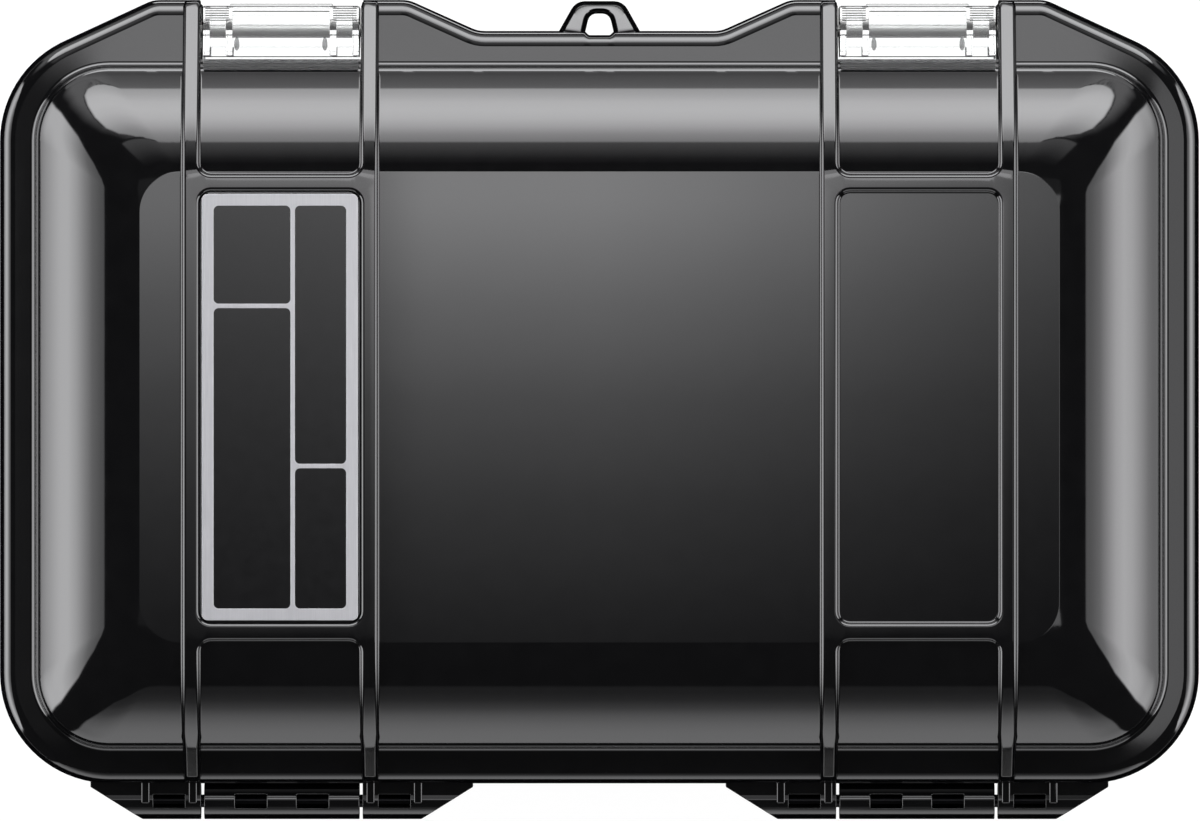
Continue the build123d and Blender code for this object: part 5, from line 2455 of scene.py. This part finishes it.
    def build_reflector(self, material: Material) -> None:
        """Lays a lit reflector in front of the case, which draws a line along its front edge."""
        half = self.reflector_half
        outline = box_outline(-half, half, -self.reflector_far, -self.reflector_near)
        points = [(x, y, 2 * self.flag_z) for x, y in outline]
        lamp_object("reflector", points, [(0, 1, 2, 3)], [self.reflector_glow] * 4, material)

    def build_flag(self) -> None:
        """Lays a black flag on the floor: only reflections see it, so it darkens the edges."""
        material, add = new_material("black_flag")
        cloth = add("ShaderNodeBsdfDiffuse", {"Color": linear("010101")})
        add("ShaderNodeOutputMaterial", {"Surface": cloth})
        flag = flat_sheet("flag", self.flag_half, self.flag_z, material)
        flag.visible_camera = False
        flag.visible_diffuse = False
        flag.visible_transmission = False
        flag.visible_shadow = False

    def build(self) -> None:
        """Builds the floor, the lights and the camera.

        The room is pale to the camera and through clear plastic. Gloss sees it dark, as the
        plastic does between the softboxes.
        """
        scene = bpy.context.scene
        scene.view_settings.view_transform = "Standard"
        flat_sheet("floor", self.floor_half, 0.0, self.floor_material())
        lamps = self.lamp_material()
        for softbox in self.softboxes:
            softbox.build(lamps)
        self.build_card(lamps)
        self.build_flag()
        self.build_reflector(lamps)
        world = bpy.data.worlds.new("studio")
        add = emptied(world)
        path = add("ShaderNodeLightPath").outputs
        white = linear("ffffff")
        room = add("ShaderNodeBackground", {"Color": white, "Strength": self.room_light})
        wall = add("ShaderNodeBackground", {"Color": white})
        through = add("ShaderNodeMath", {
            0: path["Is Camera Ray"], 1: path["Is Transmission Ray"],
        }, operation="MAXIMUM")
        seen = add("ShaderNodeMixShader", {0: through, 1: room, 2: wall})
        add("ShaderNodeOutputWorld", {"Surface": seen})
        scene.world = world
        lens = bpy.data.cameras.new("camera")
        lens.sensor_width = self.sensor / MM
        lens.lens = self.sensor / MM * self.camera_height / self.view_width
        lens.clip_end = 20.0
        camera = bpy.data.objects.new("camera", lens)
        x, y, z = self.aim
        camera.location = (x, y, z + self.camera_height)
        camera.rotation_euler = (0.0, 0.0, pi)
        scene.collection.objects.link(camera)
        scene.camera = camera


@dataclass
class HardCase:
    """The whole case: both shells with what is moulded on them, and the fitted parts."""

    sizes: CaseSizes = SIZES

    def bands(self) -> dict[str, float]:
        """Gives the two bands' names and centres."""
        return {"left": -self.sizes.band_centre, "right": self.sizes.band_centre}

    def build_shells(self) -> None:
        """Builds the lid, the base and the liner."""
        outline = Outline(self.sizes)
        lid = LidShell(outline)
        base = BaseShell(outline)
        hinge = HingeBracket(self.sizes)
        lid_parts = [lid.build(), LanyardEye(self.sizes).build()]
        base_parts = [base.build()]
        for centre_x in self.bands().values():
            lid_parts.append(LidRibs(lid).build(centre_x))
            lid_parts.append(CatchRidge(lid).build(centre_x))
            lid_parts += hinge.outer(centre_x)
            base_parts.append(BaseRibs(base).build(centre_x))
            base_parts.append(hinge.middle(centre_x))
        piece("lid", joined(lid_parts), Finish.CASE, "lid", "lid_shell")
        piece("base", joined(base_parts), Finish.CASE, "base", "base_shell")
        piece("liner", Liner(base).build(), Finish.RUBBER, "base", "base_liner")

    def build_fittings(self) -> None:
        """Builds the latches, pins, nameplate and valve."""
        latch = ClearLatch()
        pins = (
            ("latch", HeadlessPin(radius=0.95, length=30.3), Finish.STEEL),
            # The hinge pins get the steel that is painted dark for their shade
            ("hinge", HeadlessPin(radius=1.0, length=42.0), Finish.SHADE_DARKENED),
        )
        for side, centre_x in self.bands().items():
            node = f"latch_{side}"
            piece(f"clear_{node}", latch.build(node, centre_x), Finish.CLEAR, node, node)
            for kind, pin, finish in pins:
                node = f"{kind}_pin_{side}"
                low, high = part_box(node)
                piece(f"drawn_{node}", pin.build((low + high) / 2 / MM), finish, "base", node)
        for node, finish, ease, body in (
            ("nameplate", Finish.PLATE, 0.08, "lid"),
            ("nameplate_inlays", Finish.ENAMEL, 0.03, "lid"),
            ("nameplate_adhesive", Finish.ADHESIVE, 0.03, "lid"),
            ("valve_body", Finish.VALVE, 0.15, "base"),
            ("valve_cap", Finish.VALVE, 0.08, "base"),
            ("valve_retainer", Finish.VALVE, 0.08, "base"),
            ("valve_membrane", Finish.MEMBRANE, 0.04, "base"),
            ("valve_o_ring", Finish.RUBBER, 0.0, "base"),
            ("valve_nut", Finish.VALVE, 0.3, "base"),
        ):
            piece(f"dressed_{node}", eased_copy(node, ease), finish, body, node)


def main() -> None:
    """Builds the studio and the case."""
    logging.basicConfig(level=logging.INFO, format="%(message)s")
    Studio(SIZES).build()
    case = HardCase()
    case.build_shells()
    case.build_fittings()


if __name__ == "__main__":
    main()
